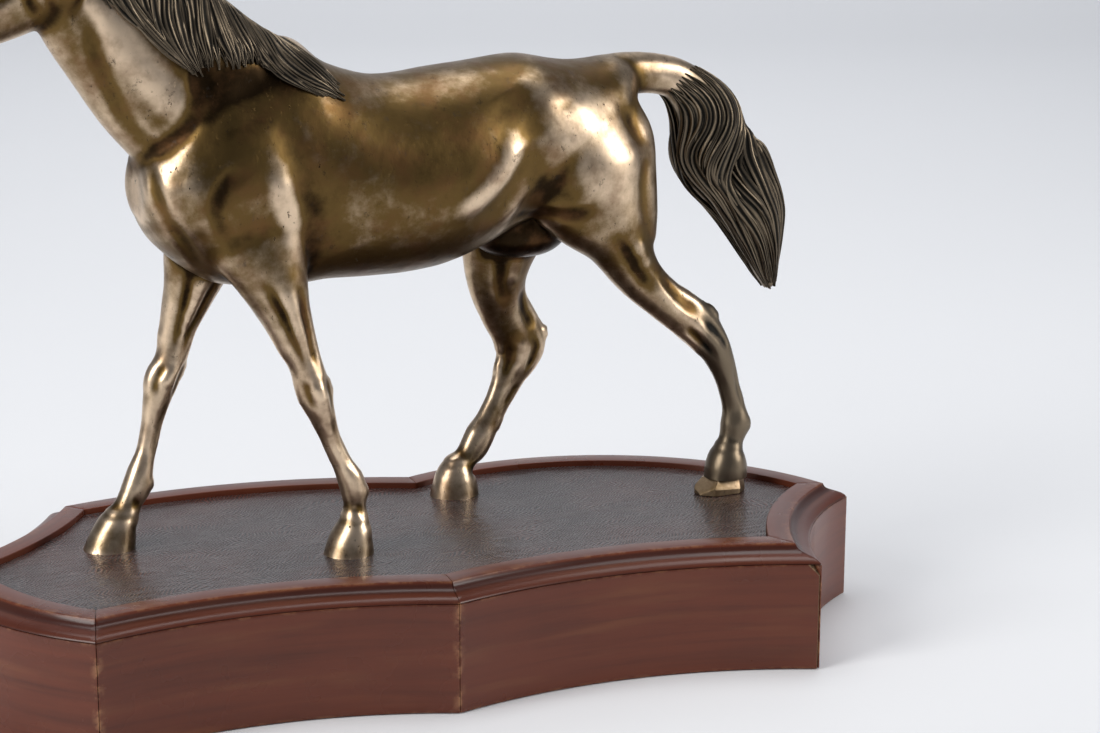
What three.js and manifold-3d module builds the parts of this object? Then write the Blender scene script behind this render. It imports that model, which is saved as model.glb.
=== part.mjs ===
// A bronze horse, walking, on a shaped hardwood plinth.
// Millimetres, +Z up. The plinth rests on Z = 0 and its long axis is X.
// The horse heads towards -X, a little towards -Y, which is its near (left) side.
import * as THREE from "three";
import { mergeVertices } from "three/addons/utils/BufferGeometryUtils.js";
import Module from "manifold-3d";

const wasm = await Module();
wasm.setup();

// ---------------------------------------------------------------- driving dimensions

// Gap kept between pieces that touch on the real object.
const JOINT_GAP = 0.3;

// Plinth: height of each layer, from the table up.
const PAD_THICKNESS = 2.2;
const PAD_PROUD = 0.6;
const BOARD_TOP = 55;
const MOULDING_HEIGHT = 8;
const PANEL_THICKNESS = 4.7;
const DECK_THICKNESS = 10;
const BATTEN_THICKNESS = 10;

// Plinth: widths measured inwards from the outer face of the side boards.
const BOARD_THICKNESS = 12;
const MOULDING_REACH = 10.5;
const RIM_WIDTH = 12;
const BEAD_RADIUS = 2.4;

// Plinth plan: corners in order, as drawn at DRAWN_LENGTH by DRAWN_WIDTH, which stretch with the
// length and width below, and how far each side bows in (+) or out (-).
const PLINTH_LENGTH = 485;
const PLINTH_WIDTH = 202;
const DRAWN_LENGTH = 485;
const DRAWN_WIDTH = 202;
const PLINTH_SIDES = [
  { name: "front_left", from: [-180, -108], bow: 15 },
  { name: "front_right", from: [-8, -108], bow: 17 },
  { name: "right_end", from: [180, -108], bow: 12 },
  { name: "back_right", from: [242, -5], bow: -54 },
  { name: "back_left", from: [20, 92], bow: -16 },
  { name: "left_end_rear", from: [-172, 94], bow: 8 },
  { name: "left_end_front", from: [-243, 8], bow: -15 },
];
const SIDE_STEPS = 10;

// Fixings: threaded stud, washer and nut under each hoof.
const STUD_RADIUS = 2;
const STUD_CLEARANCE = 0.3;
const STUD_IN_HOOF = 9;
const STUD_BELOW_DECK = 9;
const WASHER_RADIUS = 6;
const WASHER_THICKNESS = 1.2;
const NUT_WIDTH = 7;
const NUT_HEIGHT = 3.2;

// Plinth: battens, glue blocks and felt pads.
const BATTEN_WIDTH = 26;
const BATTEN_LENGTH = PLINTH_WIDTH - 72;
const BATTEN_X = [-0.2 * PLINTH_LENGTH, 0.22 * PLINTH_LENGTH];
const BLOCK_LEG = 20;
const PAD_RADIUS = 5;

// Horse: where it stands on the plinth, and the planes where its castings meet.
const HORSE_TURN = THREE.MathUtils.degToRad(10.3);
const HORSE_AT = [5, 13];
const HORSE_SCALE = 1;
const LEG_JOINT_Z = 126;
const NECK_JOINT = { x: -128, z: 243, angle: THREE.MathUtils.degToRad(128.7) };
const TAIL_JOINT_X = 134;
const TAIL_SPIGOT_Z = 222;
const NECK_BORE_LENGTH = 52;
const LAP_INTO_CASTING = 1;
const SPIGOT_RADIUS = 5;
const SPIGOT_LENGTH = 12;
const TRUNK_WALL = 9;
const CORE_HALF_WIDTH = 24;
const CORE_SPAN = [2, 12];
const HOOF_BLOCK_HEIGHT = 8;

// Horse sections, in its own frame: X towards the tail, Y to the off side, Z above the panel.
// Each station is [x, y, z, half depth in the XZ plane, half width across].
const TRUNK = [
  [-145, 0, 187, 14, 14], [-139, 0, 186, 26, 26], [-127, 0, 187, 39, 34], [-110, 0, 189, 52, 39],
  [-90, 0, 191, 58, 39], [-68, 0, 193, 61, 39], [-50, 0, 187, 54, 42], [-20, 0, 182, 50, 45],
  [10, 0, 184, 50, 46], [35, 0, 189, 48, 44], [60, 0, 194, 44, 42], [82, 0, 197, 37, 40],
  [102, 0, 200, 34, 35], [118, 0, 204, 29, 27], [128, 0, 208, 22, 15],
];
const NECK = [
  [-84, 0, 203, 45, 30], [-111, 0, 227, 44, 27], [-128, 0, 243, 42.5, 23], [-146, 0, 262, 38, 20],
  [-162, 0, 280, 34, 18], [-173, 0, 293, 29, 17],
];
const HEAD = [
  [-160, 0, 306, 14, 10], [-168, 0, 302, 24, 15], [-183, 0, 296, 28, 17], [-197, 0, 287.5, 26, 17],
  [-210, 0, 279.5, 22.5, 15.5], [-224, 0, 271, 18, 12.5], [-238, 0, 263, 14.5, 10.5],
  [-249, 0, 256, 13, 11], [-256, 0, 251, 8, 8],
];
const EAR = [
  [-172, 0, 314, 5, 4], [-174, 0, 324, 5.5, 5], [-178, 0, 335, 4, 3.5], [-181, 0, 344, 1, 1],
];
const EAR_SPREAD = 10;
const TAIL = [
  [108, 0, 222, 9, 9], [125, 0, 223, 11, 9], [140, 0, 222, 10.5, 9], [155, 0, 218, 11, 10],
  [168, 0, 207, 15, 11], [174, 0, 196, 18, 12], [175, 0, 186, 18.5, 12], [173, 0, 176, 16, 11.5],
  [174, 0, 167, 11, 10], [178, 0, 159, 8, 8.5], [186, 0, 151, 6, 7], [194, 0, 142, 4, 5],
];
const TAIL_SKIRT = [
  [187, 0, 192, 3, 4], [196, 0, 183, 8, 7], [200, 0, 172, 12.5, 9.5], [200, 0, 161, 16.5, 11.5],
  [202, 0, 150, 18, 12], [206, 0, 139, 15, 11.5], [209.5, 0, 126, 10.5, 10], [212.5, 0, 113, 6.5, 7],
  [217, 0, 101, 3.2, 3.5],
];
const SHEATH = [
  [34, 0, 152, 8, 8], [46, 0, 147, 12, 10], [60, 0, 146, 12, 11], [74, 0, 147, 12, 11],
  [86, 0, 153, 8, 8],
];
const LEGS = {
  off_foreleg: [
    [-98, 16, 190, 26, 15], [-101, 20, 165, 26, 16], [-105, 25, 143, 18.5, 14], [-110, 28, 124, 12.5, 11],
    [-115, 30, 108, 9, 8.5], [-119, 31, 93, 7.8, 8], [-123.5, 32, 83, 8.6, 8.6], [-127, 32, 72, 6.8, 7],
    [-130, 32, 60, 5.2, 5], [-133, 32, 48, 5, 4.8], [-137, 32, 36, 6.6, 6.5], [-139, 32, 29, 7.4, 7],
    [-143, 32, 22, 6.6, 6.5], [-146, 32, 16, 8, 8.5], [-149, 32, 12, 9.5, 10], [-152, 32, 5, 11.6, 11.5],
    [-155, 32, -5, 13.4, 13],
  ],
  near_foreleg: [
    [-97, -16, 190, 26, 15], [-94, -20, 165, 27, 16], [-88, -25, 143, 19, 14], [-82, -28, 124, 12.5, 11],
    [-77.5, -30, 110, 9.8, 9], [-73.5, -31, 98, 8.2, 8.4], [-69.5, -32, 83, 8.4, 8.6], [-65.5, -32, 71, 6.4, 6.8],
    [-61, -32, 58, 4.9, 4.8], [-56, -32, 47, 5, 4.8], [-51, -32, 37, 6.6, 6.4], [-49.5, -32, 31, 6.6, 6.4],
    [-49, -32, 24, 5.6, 5.8], [-49.5, -32, 17, 7.2, 8], [-50, -32, 12, 9, 10], [-51.5, -32, 5, 11.4, 11.5],
    [-53, -32, -5, 13.4, 13],
  ],
  off_hindleg: [
    [84, 16, 205, 28, 20], [78, 19, 180, 36, 22], [70, 22, 156, 32, 20], [64, 27, 130, 21, 15],
    [64, 29, 113, 16.5, 12], [69, 31, 98, 13.5, 9.5], [76, 32, 85, 13, 8], [77, 32, 74, 11.5, 7.5],
    [72, 32, 61, 8, 6], [66, 32, 49, 6.6, 5.4], [60, 32, 39, 6.6, 5.4], [54, 32, 30, 7.8, 7],
    [49, 32, 24, 8, 7], [43, 32, 17, 8.6, 8.5], [40, 32, 12, 10, 9.5], [39, 32, 5, 11.6, 10.8],
    [38.5, 32, -5, 13, 12],
  ],
  near_hindleg: [
    [88, -16, 208, 28, 20], [87, -20, 184, 40, 22], [89, -22, 160, 36, 20], [101, -26, 139, 21, 15],
    [114, -29, 123, 13.5, 11], [130, -31, 108.5, 10.8, 9], [146, -32, 96.5, 11.4, 8], [159, -32, 83, 9.6, 7.4],
    [167, -32, 68, 7, 6.2], [171, -32, 56, 6, 5.4], [174, -32, 46, 6.4, 5.4], [175, -32, 36, 8, 7],
    [173, -32, 28, 6.8, 6.4], [171.5, -32, 23, 8.4, 8.5], [170.5, -32, 18, 10.4, 10.4],
    [170, -32, 13, 11.6, 11.2], [169.5, -32, 5, 11.8, 11.4],
  ],
};
// Studs stand under the middle of each hoof.
const STUDS = { off_fore: [-152, 32], near_fore: [-51, -32], off_hind: [40, 32], near_hind: [170, -32] };
const HOOF_BASE = { off_fore: 0, near_fore: 0, off_hind: 0, near_hind: HOOF_BLOCK_HEIGHT + JOINT_GAP };
const HOOF_BLOCK = [
  [152, -35], [158, -41], [173, -41.5], [179, -37], [179, -27], [173, -22.5], [158, -23], [152, -29],
];
const LEG_OF_STUD = {
  off_fore: "off_foreleg", near_fore: "near_foreleg", off_hind: "off_hindleg", near_hind: "near_hindleg",
};

// ---------------------------------------------------------------- derived levels

const BOARD_BOTTOM = PAD_PROUD;
const LAYER_ABOVE_BOARDS = BOARD_TOP + JOINT_GAP;
const PANEL_TOP = LAYER_ABOVE_BOARDS + PANEL_THICKNESS;
const DECK_BOTTOM = BOARD_TOP - DECK_THICKNESS;
const HOOF_LEVEL = PANEL_TOP + JOINT_GAP;

// ---------------------------------------------------------------- materials

const BRONZE = { color: 0x6f5426, metalness: 0.9, roughness: 0.35 };
const MAHOGANY = { color: 0x56281a, metalness: 0, roughness: 0.35 };
const DARK_PANEL = { color: 0x33231e, metalness: 0, roughness: 0.4 };
const PINE = { color: 0xb58a56, metalness: 0, roughness: 0.8 };
const STEEL = { color: 0x9a9a98, metalness: 1, roughness: 0.4 };
const FELT = { color: 0x26402c, metalness: 0, roughness: 1 };

const statue = new THREE.Group();

function addPiece(name, geometry, look) {
  const mesh = new THREE.Mesh(geometry, new THREE.MeshStandardMaterial(look));
  mesh.name = name;
  statue.add(mesh);
}

// ---------------------------------------------------------------- solids

function weld(geometry) {
  const bare = geometry.clone();
  bare.deleteAttribute("normal");
  bare.deleteAttribute("uv");
  return mergeVertices(bare, 1e-4);
}

function toSolid(geometry) {
  const welded = weld(geometry);
  return new wasm.Manifold(new wasm.Mesh({
    numProp: 3,
    vertProperties: new Float32Array(welded.attributes.position.array),
    triVerts: new Uint32Array(welded.index.array),
  }));
}

function toGeometry(solid) {
  const mesh = solid.getMesh();
  const geometry = new THREE.BufferGeometry();
  geometry.setAttribute("position", new THREE.BufferAttribute(mesh.vertProperties, 3));
  geometry.setIndex(new THREE.BufferAttribute(mesh.triVerts, 1));
  return geometry;
}

function unite(solids) {
  return solids.reduce((sum, solid) => sum.add(solid));
}

function rod(x, y, bottom, top, radius, sides = 16) {
  const geometry = new THREE.CylinderGeometry(radius, radius, top - bottom, sides);
  geometry.rotateX(Math.PI / 2);
  geometry.translate(x, y, (bottom + top) / 2);
  return geometry;
}

// ---------------------------------------------------------------- plinth plan

// Each side is an arc through its two corners, with its middle moved by the bow.
function makeSide(side, next) {
  const stretch = new THREE.Vector2(PLINTH_LENGTH / DRAWN_LENGTH, PLINTH_WIDTH / DRAWN_WIDTH);
  const start = new THREE.Vector2(...side.from).multiply(stretch);
  const end = new THREE.Vector2(...next.from).multiply(stretch);
  const chord = end.clone().sub(start);
  const inwards = new THREE.Vector2(-chord.y, chord.x).normalize();
  const half = chord.length() / 2;
  const radius = (half * half + side.bow * side.bow) / (2 * Math.abs(side.bow));
  const bulge = Math.sign(side.bow);
  const centre = start.clone().add(end).multiplyScalar(0.5);
  centre.addScaledVector(inwards, side.bow - bulge * radius);
  return { name: side.name, start, end, centre, radius, bulge };
}
const sides = PLINTH_SIDES.map((side, i) => makeSide(side, PLINTH_SIDES[(i + 1) % PLINTH_SIDES.length]));

// Radius of a side's arc once it is moved inwards.
function insetRadius(side, inset) {
  return side.radius + side.bulge * inset;
}

// Where two neighbouring sides meet once both are moved inwards: the crossing nearest their corner.
function insetCorner(before, after, inset) {
  const r1 = insetRadius(before, inset);
  const r2 = insetRadius(after, inset);
  const between = after.centre.clone().sub(before.centre);
  const gap = between.length();
  const along = (gap * gap + r1 * r1 - r2 * r2) / (2 * gap);
  const across = Math.sqrt(Math.max(r1 * r1 - along * along, 0));
  between.normalize();
  const foot = before.centre.clone().addScaledVector(between, along);
  const crossings = [1, -1].map((way) => new THREE.Vector2(
    foot.x - way * between.y * across,
    foot.y + way * between.x * across,
  ));
  crossings.sort((a, b) => a.distanceTo(after.start) - b.distanceTo(after.start));
  return crossings[0];
}

// A point on a side at a given inset: t runs from 0 at its first corner to 1 at its last.
function pointOnSide(index, inset, t, trim = 0) {
  const count = sides.length;
  const side = sides[index];
  const first = insetCorner(sides[(index + count - 1) % count], side, inset);
  const last = insetCorner(side, sides[(index + 1) % count], inset);
  const a0 = Math.atan2(first.y - side.centre.y, first.x - side.centre.x);
  const a1 = Math.atan2(last.y - side.centre.y, last.x - side.centre.x);
  const turn = Math.atan2(Math.sin(a1 - a0), Math.cos(a1 - a0));
  const radius = insetRadius(side, inset);
  const trimmed = Math.sign(turn) * trim / radius;
  const angle = a0 + trimmed + (turn - 2 * trimmed) * t;
  return new THREE.Vector2(
    side.centre.x + radius * Math.cos(angle),
    side.centre.y + radius * Math.sin(angle),
  );
}

// The whole plan at an inset, as one closed outline.
function planShape(inset) {
  const points = [];
  sides.forEach((_, index) => {
    for (let step = 0; step < SIDE_STEPS; step += 1) {
      points.push(pointOnSide(index, inset, step / SIDE_STEPS));
    }
  });
  return new THREE.Shape(points);
}

// A profile in (inset, height) carried along one side, with mitred ends.
function alongSide(index, profile) {
  const geometry = new THREE.ExtrudeGeometry(profile, { depth: 1, steps: SIDE_STEPS, bevelEnabled: false });
  const at = geometry.attributes.position;
  for (let i = 0; i < at.count; i += 1) {
    const point = pointOnSide(index, at.getX(i), at.getZ(i), JOINT_GAP);
    at.setXYZ(i, point.x, point.y, at.getY(i));
  }
  return weld(geometry);
}

function plate(inset, bottom, top) {
  const geometry = new THREE.ExtrudeGeometry(planShape(inset), { depth: top - bottom, bevelEnabled: false });
  geometry.translate(0, 0, bottom);
  return geometry;
}

// ---------------------------------------------------------------- plinth pieces

function boardProfile() {
  return new THREE.Shape([
    new THREE.Vector2(0, BOARD_BOTTOM),
    new THREE.Vector2(BOARD_THICKNESS, BOARD_BOTTOM),
    new THREE.Vector2(BOARD_THICKNESS, BOARD_TOP),
    new THREE.Vector2(0, BOARD_TOP),
  ]);
}

// Flat rim, hollow cove and small bead above the board.
function mouldingProfile() {
  const top = BOARD_TOP + MOULDING_HEIGHT;
  const beadTop = LAYER_ABOVE_BOARDS + BEAD_RADIUS;
  const shape = new THREE.Shape();
  shape.moveTo(0, LAYER_ABOVE_BOARDS);
  shape.lineTo(MOULDING_REACH + RIM_WIDTH, LAYER_ABOVE_BOARDS);
  shape.lineTo(MOULDING_REACH + RIM_WIDTH, top);
  shape.lineTo(MOULDING_REACH, top);
  shape.quadraticCurveTo(MOULDING_REACH - 1.5, beadTop + 0.6, BEAD_RADIUS, beadTop);
  shape.quadraticCurveTo(0, beadTop, 0, LAYER_ABOVE_BOARDS);
  return new THREE.Shape(shape.getPoints(4));
}

sides.forEach((side, index) => {
  addPiece(`side_board_${side.name}`, alongSide(index, boardProfile()), MAHOGANY);
  addPiece(`rim_moulding_${side.name}`, alongSide(index, mouldingProfile()), MAHOGANY);
});

// Horse frame to plinth frame, in plan.
function onPlinth(x, y) {
  const point = new THREE.Vector2(x, y).multiplyScalar(HORSE_SCALE).rotateAround(new THREE.Vector2(), HORSE_TURN);
  return point.add(new THREE.Vector2(...HORSE_AT));
}

// A stud's top, and the clearance hole round it up to a little above that.
function studTop(name) {
  return HOOF_LEVEL + HOOF_BASE[name] * HORSE_SCALE + STUD_IN_HOOF;
}

function studBore(name) {
  const at = onPlinth(...STUDS[name]);
  return toSolid(rod(at.x, at.y, 0, studTop(name) + JOINT_GAP, STUD_RADIUS + STUD_CLEARANCE));
}

function boreForStuds(solid) {
  return Object.keys(STUDS).reduce((left, name) => left.subtract(studBore(name)), solid);
}

const panelInset = MOULDING_REACH + RIM_WIDTH + JOINT_GAP;
const panel = toSolid(plate(panelInset, LAYER_ABOVE_BOARDS, PANEL_TOP));
addPiece("textured_panel", toGeometry(boreForStuds(panel)), DARK_PANEL);

const deckInset = BOARD_THICKNESS + JOINT_GAP;
const deck = toSolid(plate(deckInset, DECK_BOTTOM, BOARD_TOP));
addPiece("deck_board", toGeometry(boreForStuds(deck)), PINE);

BATTEN_X.forEach((x, i) => {
  const batten = new THREE.BoxGeometry(BATTEN_WIDTH, BATTEN_LENGTH, BATTEN_THICKNESS);
  batten.translate(x, 0, DECK_BOTTOM - JOINT_GAP - BATTEN_THICKNESS / 2);
  addPiece(`deck_batten_${["left", "right"][i]}`, batten, PINE);
});

// A glue block stands in every corner that points outwards, and carries a felt pad.
sides.forEach((side, index) => {
  const before = (index + sides.length - 1) % sides.length;
  const inset = BOARD_THICKNESS + 2 * JOINT_GAP;
  const corner = pointOnSide(index, inset, 0);
  const onNext = pointOnSide(index, inset, 0, BLOCK_LEG);
  const onLast = pointOnSide(before, inset, 1, BLOCK_LEG);
  const legs = [onNext.clone().sub(corner), onLast.clone().sub(corner)];
  if (legs[0].cross(legs[1]) <= 0) {
    return;
  }
  const name = `${sides[before].name}_to_${side.name}`;
  const bottom = PAD_THICKNESS + JOINT_GAP;
  const top = DECK_BOTTOM - JOINT_GAP;
  const far = onNext.clone().add(onLast).sub(corner);
  const outline = new THREE.Shape([corner, onNext, far, onLast]);
  const block = new THREE.ExtrudeGeometry(outline, { depth: top - bottom, bevelEnabled: false });
  block.translate(0, 0, bottom);
  addPiece(`glue_block_${name}`, block, PINE);
  const middle = far.clone().add(corner).multiplyScalar(0.5);
  addPiece(`felt_pad_${name}`, rod(middle.x, middle.y, 0, PAD_THICKNESS, PAD_RADIUS, 16), FELT);
});

// ---------------------------------------------------------------- fixings

Object.entries(STUDS).forEach(([name, [x, y]]) => {
  const at = onPlinth(x, y);
  const washerTop = DECK_BOTTOM - JOINT_GAP;
  const nutTop = washerTop - WASHER_THICKNESS - JOINT_GAP;
  const hole = studBore(name);
  const washer = toSolid(rod(at.x, at.y, washerTop - WASHER_THICKNESS, washerTop, WASHER_RADIUS));
  const nutRadius = NUT_WIDTH / Math.sqrt(3);
  const nut = toSolid(rod(at.x, at.y, nutTop - NUT_HEIGHT, nutTop, nutRadius, 6));
  addPiece(`stud_${name}`, rod(at.x, at.y, DECK_BOTTOM - STUD_BELOW_DECK, studTop(name), STUD_RADIUS), STEEL);
  addPiece(`washer_${name}`, toGeometry(washer.subtract(hole)), STEEL);
  addPiece(`nut_${name}`, toGeometry(nut.subtract(hole)), STEEL);
});

// ---------------------------------------------------------------- horse

// A closed skin through the stations: a cylinder whose rings are moved onto them.
// Its sections stand square to the spine, or upright where that is asked for.
function loft(stations, around, along, { mirror = 1, upright = false } = {}) {
  const spine = new THREE.CatmullRomCurve3(
    stations.map(([x, y, z]) => new THREE.Vector3(x, y * mirror, z)), false, "centripetal");
  const sizes = new THREE.CatmullRomCurve3(
    stations.map(([, , , depth, width]) => new THREE.Vector3(depth, width, 0)), false, "centripetal");
  const geometry = weld(new THREE.CylinderGeometry(1, 1, 1, around, along));
  const at = geometry.attributes.position;
  const across = new THREE.Vector3(0, 1, 0);
  for (let i = 0; i < at.count; i += 1) {
    const t = 0.5 - at.getY(i);
    const centre = spine.getPoint(t);
    const size = sizes.getPoint(t);
    const forwards = upright ? new THREE.Vector3(1, 0, 0) : spine.getTangent(t).setY(0).normalize();
    const depthwise = new THREE.Vector3().crossVectors(across, forwards);
    const skin = centre.addScaledVector(depthwise, at.getX(i) * size.x);
    skin.addScaledVector(across, at.getZ(i) * size.y);
    at.setXYZ(i, skin.x, skin.y, skin.z);
  }
  return toSolid(geometry);
}

// Everything on one side of a plane through (x, z), facing the given angle in the XZ plane.
function halfSpace(x, z, angle) {
  const size = 800;
  const box = new THREE.BoxGeometry(size, size, size);
  box.translate(size / 2, 0, 0);
  box.rotateY(-angle);
  box.translate(x, 0, z);
  return toSolid(box);
}

function spigot(x, y, z, angle, length, radius) {
  const pin = new THREE.CylinderGeometry(radius, radius, length, 12);
  pin.rotateZ(-Math.PI / 2);
  pin.translate(length / 2, 0, 0);
  pin.rotateY(-angle);
  pin.translate(x, y, z);
  return toSolid(pin);
}

const UP = Math.PI / 2;
const SOCKET = SPIGOT_RADIUS + JOINT_GAP;
const halfGap = JOINT_GAP / 2;

const trunkSkin = unite([loft(TRUNK, 22, 18, { upright: true }), loft(SHEATH, 12, 6, { upright: true })]);
const neckSkin = unite([
  loft(NECK, 18, 8),
  loft(HEAD, 16, 12),
  loft(EAR.map(([x, , z, depth, width]) => [x, EAR_SPREAD, z, depth, width]), 8, 4),
  loft(EAR.map(([x, , z, depth, width]) => [x, EAR_SPREAD, z, depth, width]), 8, 4, { mirror: -1 }),
]);
const tailSkin = unite([loft(TAIL, 12, 14), loft(TAIL_SKIRT, 12, 10)]);
const legSkins = Object.fromEntries(
  Object.entries(LEGS).map(([name, stations]) => [name, loft(stations, 12, 24)]));

// Points in the XZ plane a little to either side of the neck joint.
function neckJointAt(shift) {
  return [
    NECK_JOINT.x + shift * Math.cos(NECK_JOINT.angle),
    NECK_JOINT.z + shift * Math.sin(NECK_JOINT.angle),
  ];
}

// Where each leg's spigot stands: the middle of its section at the joint.
function legCentreAtJoint(stations) {
  const after = stations.findIndex((station) => station[2] <= LEG_JOINT_Z);
  const above = stations[after - 1];
  const below = stations[after];
  const t = (above[2] - LEG_JOINT_Z) / (above[2] - below[2]);
  return [above[0] + (below[0] - above[0]) * t, above[1] + (below[1] - above[1]) * t];
}

// The hollow left by the casting core, from the breast to the loins.
const coreStations = TRUNK.slice(...CORE_SPAN).map(([x, y, z, depth, width]) => [
  x, y, z, depth - TRUNK_WALL, Math.min(width - TRUNK_WALL, CORE_HALF_WIDTH),
]);
const core = loft(coreStations, 12, 8, { upright: true });

let trunk = unite([trunkSkin, neckSkin, ...Object.values(legSkins)]);
trunk = trunk.subtract(halfSpace(0, LEG_JOINT_Z + halfGap, -UP));
trunk = trunk.subtract(halfSpace(...neckJointAt(-halfGap), NECK_JOINT.angle));
trunk = trunk.add(tailSkin.subtract(halfSpace(TAIL_JOINT_X - 2 * halfGap, 0, 0)));
trunk = trunk.subtract(halfSpace(TAIL_JOINT_X - halfGap, 0, 0));
trunk = trunk.subtract(core);

// The neck's bore runs on into the core; the other sockets are a little deeper than their spigots.
const neckBack = NECK_JOINT.angle + Math.PI;
const [neckX, neckZ] = neckJointAt(LAP_INTO_CASTING);
const socketDepth = SPIGOT_LENGTH + 2 * LAP_INTO_CASTING;
trunk = trunk.subtract(spigot(NECK_JOINT.x, 0, NECK_JOINT.z, neckBack, NECK_BORE_LENGTH, SOCKET));
let neck = neckSkin.subtract(halfSpace(...neckJointAt(halfGap), neckBack));
neck = neck.add(spigot(neckX, 0, neckZ, neckBack, SPIGOT_LENGTH, SPIGOT_RADIUS));

const tailPinX = TAIL_JOINT_X + LAP_INTO_CASTING;
trunk = trunk.subtract(spigot(tailPinX, 0, TAIL_SPIGOT_Z, Math.PI, socketDepth, SOCKET));
let tail = tailSkin.subtract(halfSpace(TAIL_JOINT_X + halfGap, 0, Math.PI));
tail = tail.add(spigot(tailPinX, 0, TAIL_SPIGOT_Z, Math.PI, SPIGOT_LENGTH, SPIGOT_RADIUS));

// Turn a solid from the horse's frame to where it stands on the plinth.
function placeHorse(solid) {
  const geometry = toGeometry(solid);
  geometry.scale(HORSE_SCALE, HORSE_SCALE, HORSE_SCALE);
  geometry.rotateZ(HORSE_TURN);
  geometry.translate(HORSE_AT[0], HORSE_AT[1], HOOF_LEVEL);
  return geometry;
}

Object.entries(LEG_OF_STUD).forEach(([stud, name]) => {
  const [x, y] = legCentreAtJoint(LEGS[name]);
  const joint = LEG_JOINT_Z - halfGap;
  trunk = trunk.subtract(spigot(x, y, LEG_JOINT_Z - LAP_INTO_CASTING, UP, socketDepth, SOCKET));
  let leg = legSkins[name].subtract(halfSpace(0, joint, UP));
  leg = leg.add(spigot(x, y, joint - LAP_INTO_CASTING, UP, SPIGOT_LENGTH, SPIGOT_RADIUS));
  leg = leg.subtract(halfSpace(0, HOOF_BASE[stud], -UP));
  addPiece(name, toGeometry(toSolid(placeHorse(leg)).subtract(studBore(stud))), BRONZE);
});

addPiece("trunk", placeHorse(trunk), BRONZE);
addPiece("neck_and_head", placeHorse(neck), BRONZE);
addPiece("tail", placeHorse(tail), BRONZE);

// The trailing hind hoof stands on a small bronze block, narrowed at its toe and heel.
const blockShape = new THREE.Shape(HOOF_BLOCK.map(([x, y]) => new THREE.Vector2(x, y)));
const blockPrism = new THREE.ExtrudeGeometry(blockShape, { depth: HOOF_BLOCK_HEIGHT, bevelEnabled: false });
const block = toSolid(placeHorse(toSolid(blockPrism))).subtract(studBore("near_hind"));
addPiece("near_hind_hoof_block", toGeometry(block), BRONZE);

// ---------------------------------------------------------------- origin

// The origin is the middle of the object's box, on the table.
const box = new THREE.Box3().setFromObject(statue);
const middle = box.getCenter(new THREE.Vector3());
statue.position.set(-middle.x, -middle.y, -box.min.z);
statue.updateMatrixWorld(true);

export default statue;
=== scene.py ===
"""A bronze horse walking on a shaped hardwood plinth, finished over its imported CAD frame."""
import math

import bmesh
import bpy
import numpy as np
from bpy.props import FloatProperty, FloatVectorProperty, IntProperty, PointerProperty
from mathutils import Matrix, Vector
from mathutils.bvhtree import BVHTree


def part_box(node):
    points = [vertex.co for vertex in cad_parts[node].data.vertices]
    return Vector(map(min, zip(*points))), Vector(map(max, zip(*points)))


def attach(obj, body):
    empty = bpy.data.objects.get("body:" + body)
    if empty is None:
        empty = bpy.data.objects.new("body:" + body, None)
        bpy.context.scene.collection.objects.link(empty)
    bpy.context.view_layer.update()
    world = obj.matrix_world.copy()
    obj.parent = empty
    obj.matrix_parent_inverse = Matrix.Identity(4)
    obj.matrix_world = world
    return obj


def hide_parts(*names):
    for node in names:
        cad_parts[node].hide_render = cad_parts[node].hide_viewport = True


bl_info = {
    "name": "Bronze horse on a plinth",
    "version": (1, 0, 0),
    "blender": (4, 5, 0),
    "location": "3D View > Sidebar > Statue",
    "description": "Builds the castings, the plinth and the stage of a bronze horse statue",
    "category": "Object",
}

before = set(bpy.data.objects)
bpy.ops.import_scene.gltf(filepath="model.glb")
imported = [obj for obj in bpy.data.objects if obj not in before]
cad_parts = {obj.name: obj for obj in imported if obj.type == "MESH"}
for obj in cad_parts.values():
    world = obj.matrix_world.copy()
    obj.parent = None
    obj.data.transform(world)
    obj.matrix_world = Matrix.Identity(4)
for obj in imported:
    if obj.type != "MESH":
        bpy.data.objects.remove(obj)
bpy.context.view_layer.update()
MM = 0.001

# ------------------------------------------------------------------ shared measures, in mm

# The plinth's seven sides: name, the corner where the side begins, and how far it bows inwards.
SIDES = [
    ("front_left", (-180, -108), 15),
    ("front_right", (-8, -108), 17),
    ("right_end", (180, -108), 12),
    ("back_right", (242, -5), -54),
    ("back_left", (20, 92), -16),
    ("left_end_rear", (-172, 94), 8),
    ("left_end_front", (-243, 8), -15),
]
BOARD_BOTTOM = 0.6
BOARD_TOP = 55
RIM_TOP = 63
PANEL_BOTTOM = 55.3
PANEL_TOP = 60
HOOF_LEVEL = 60.3
PANEL_INSET = 22.8
PANEL_GRID = 1.15

HORSE_TURN = math.radians(10.3)
HORSE_AT = (5, 13)
LEG_JOINT_Z = 126
NECK_JOINT = (-128, 243, math.radians(128.7))
TAIL_JOINT_X = 134
HALF_GAP = 0.15
STUD_OFF_FORE = (-152, 32)
BLOCK_TOP = 8

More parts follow.
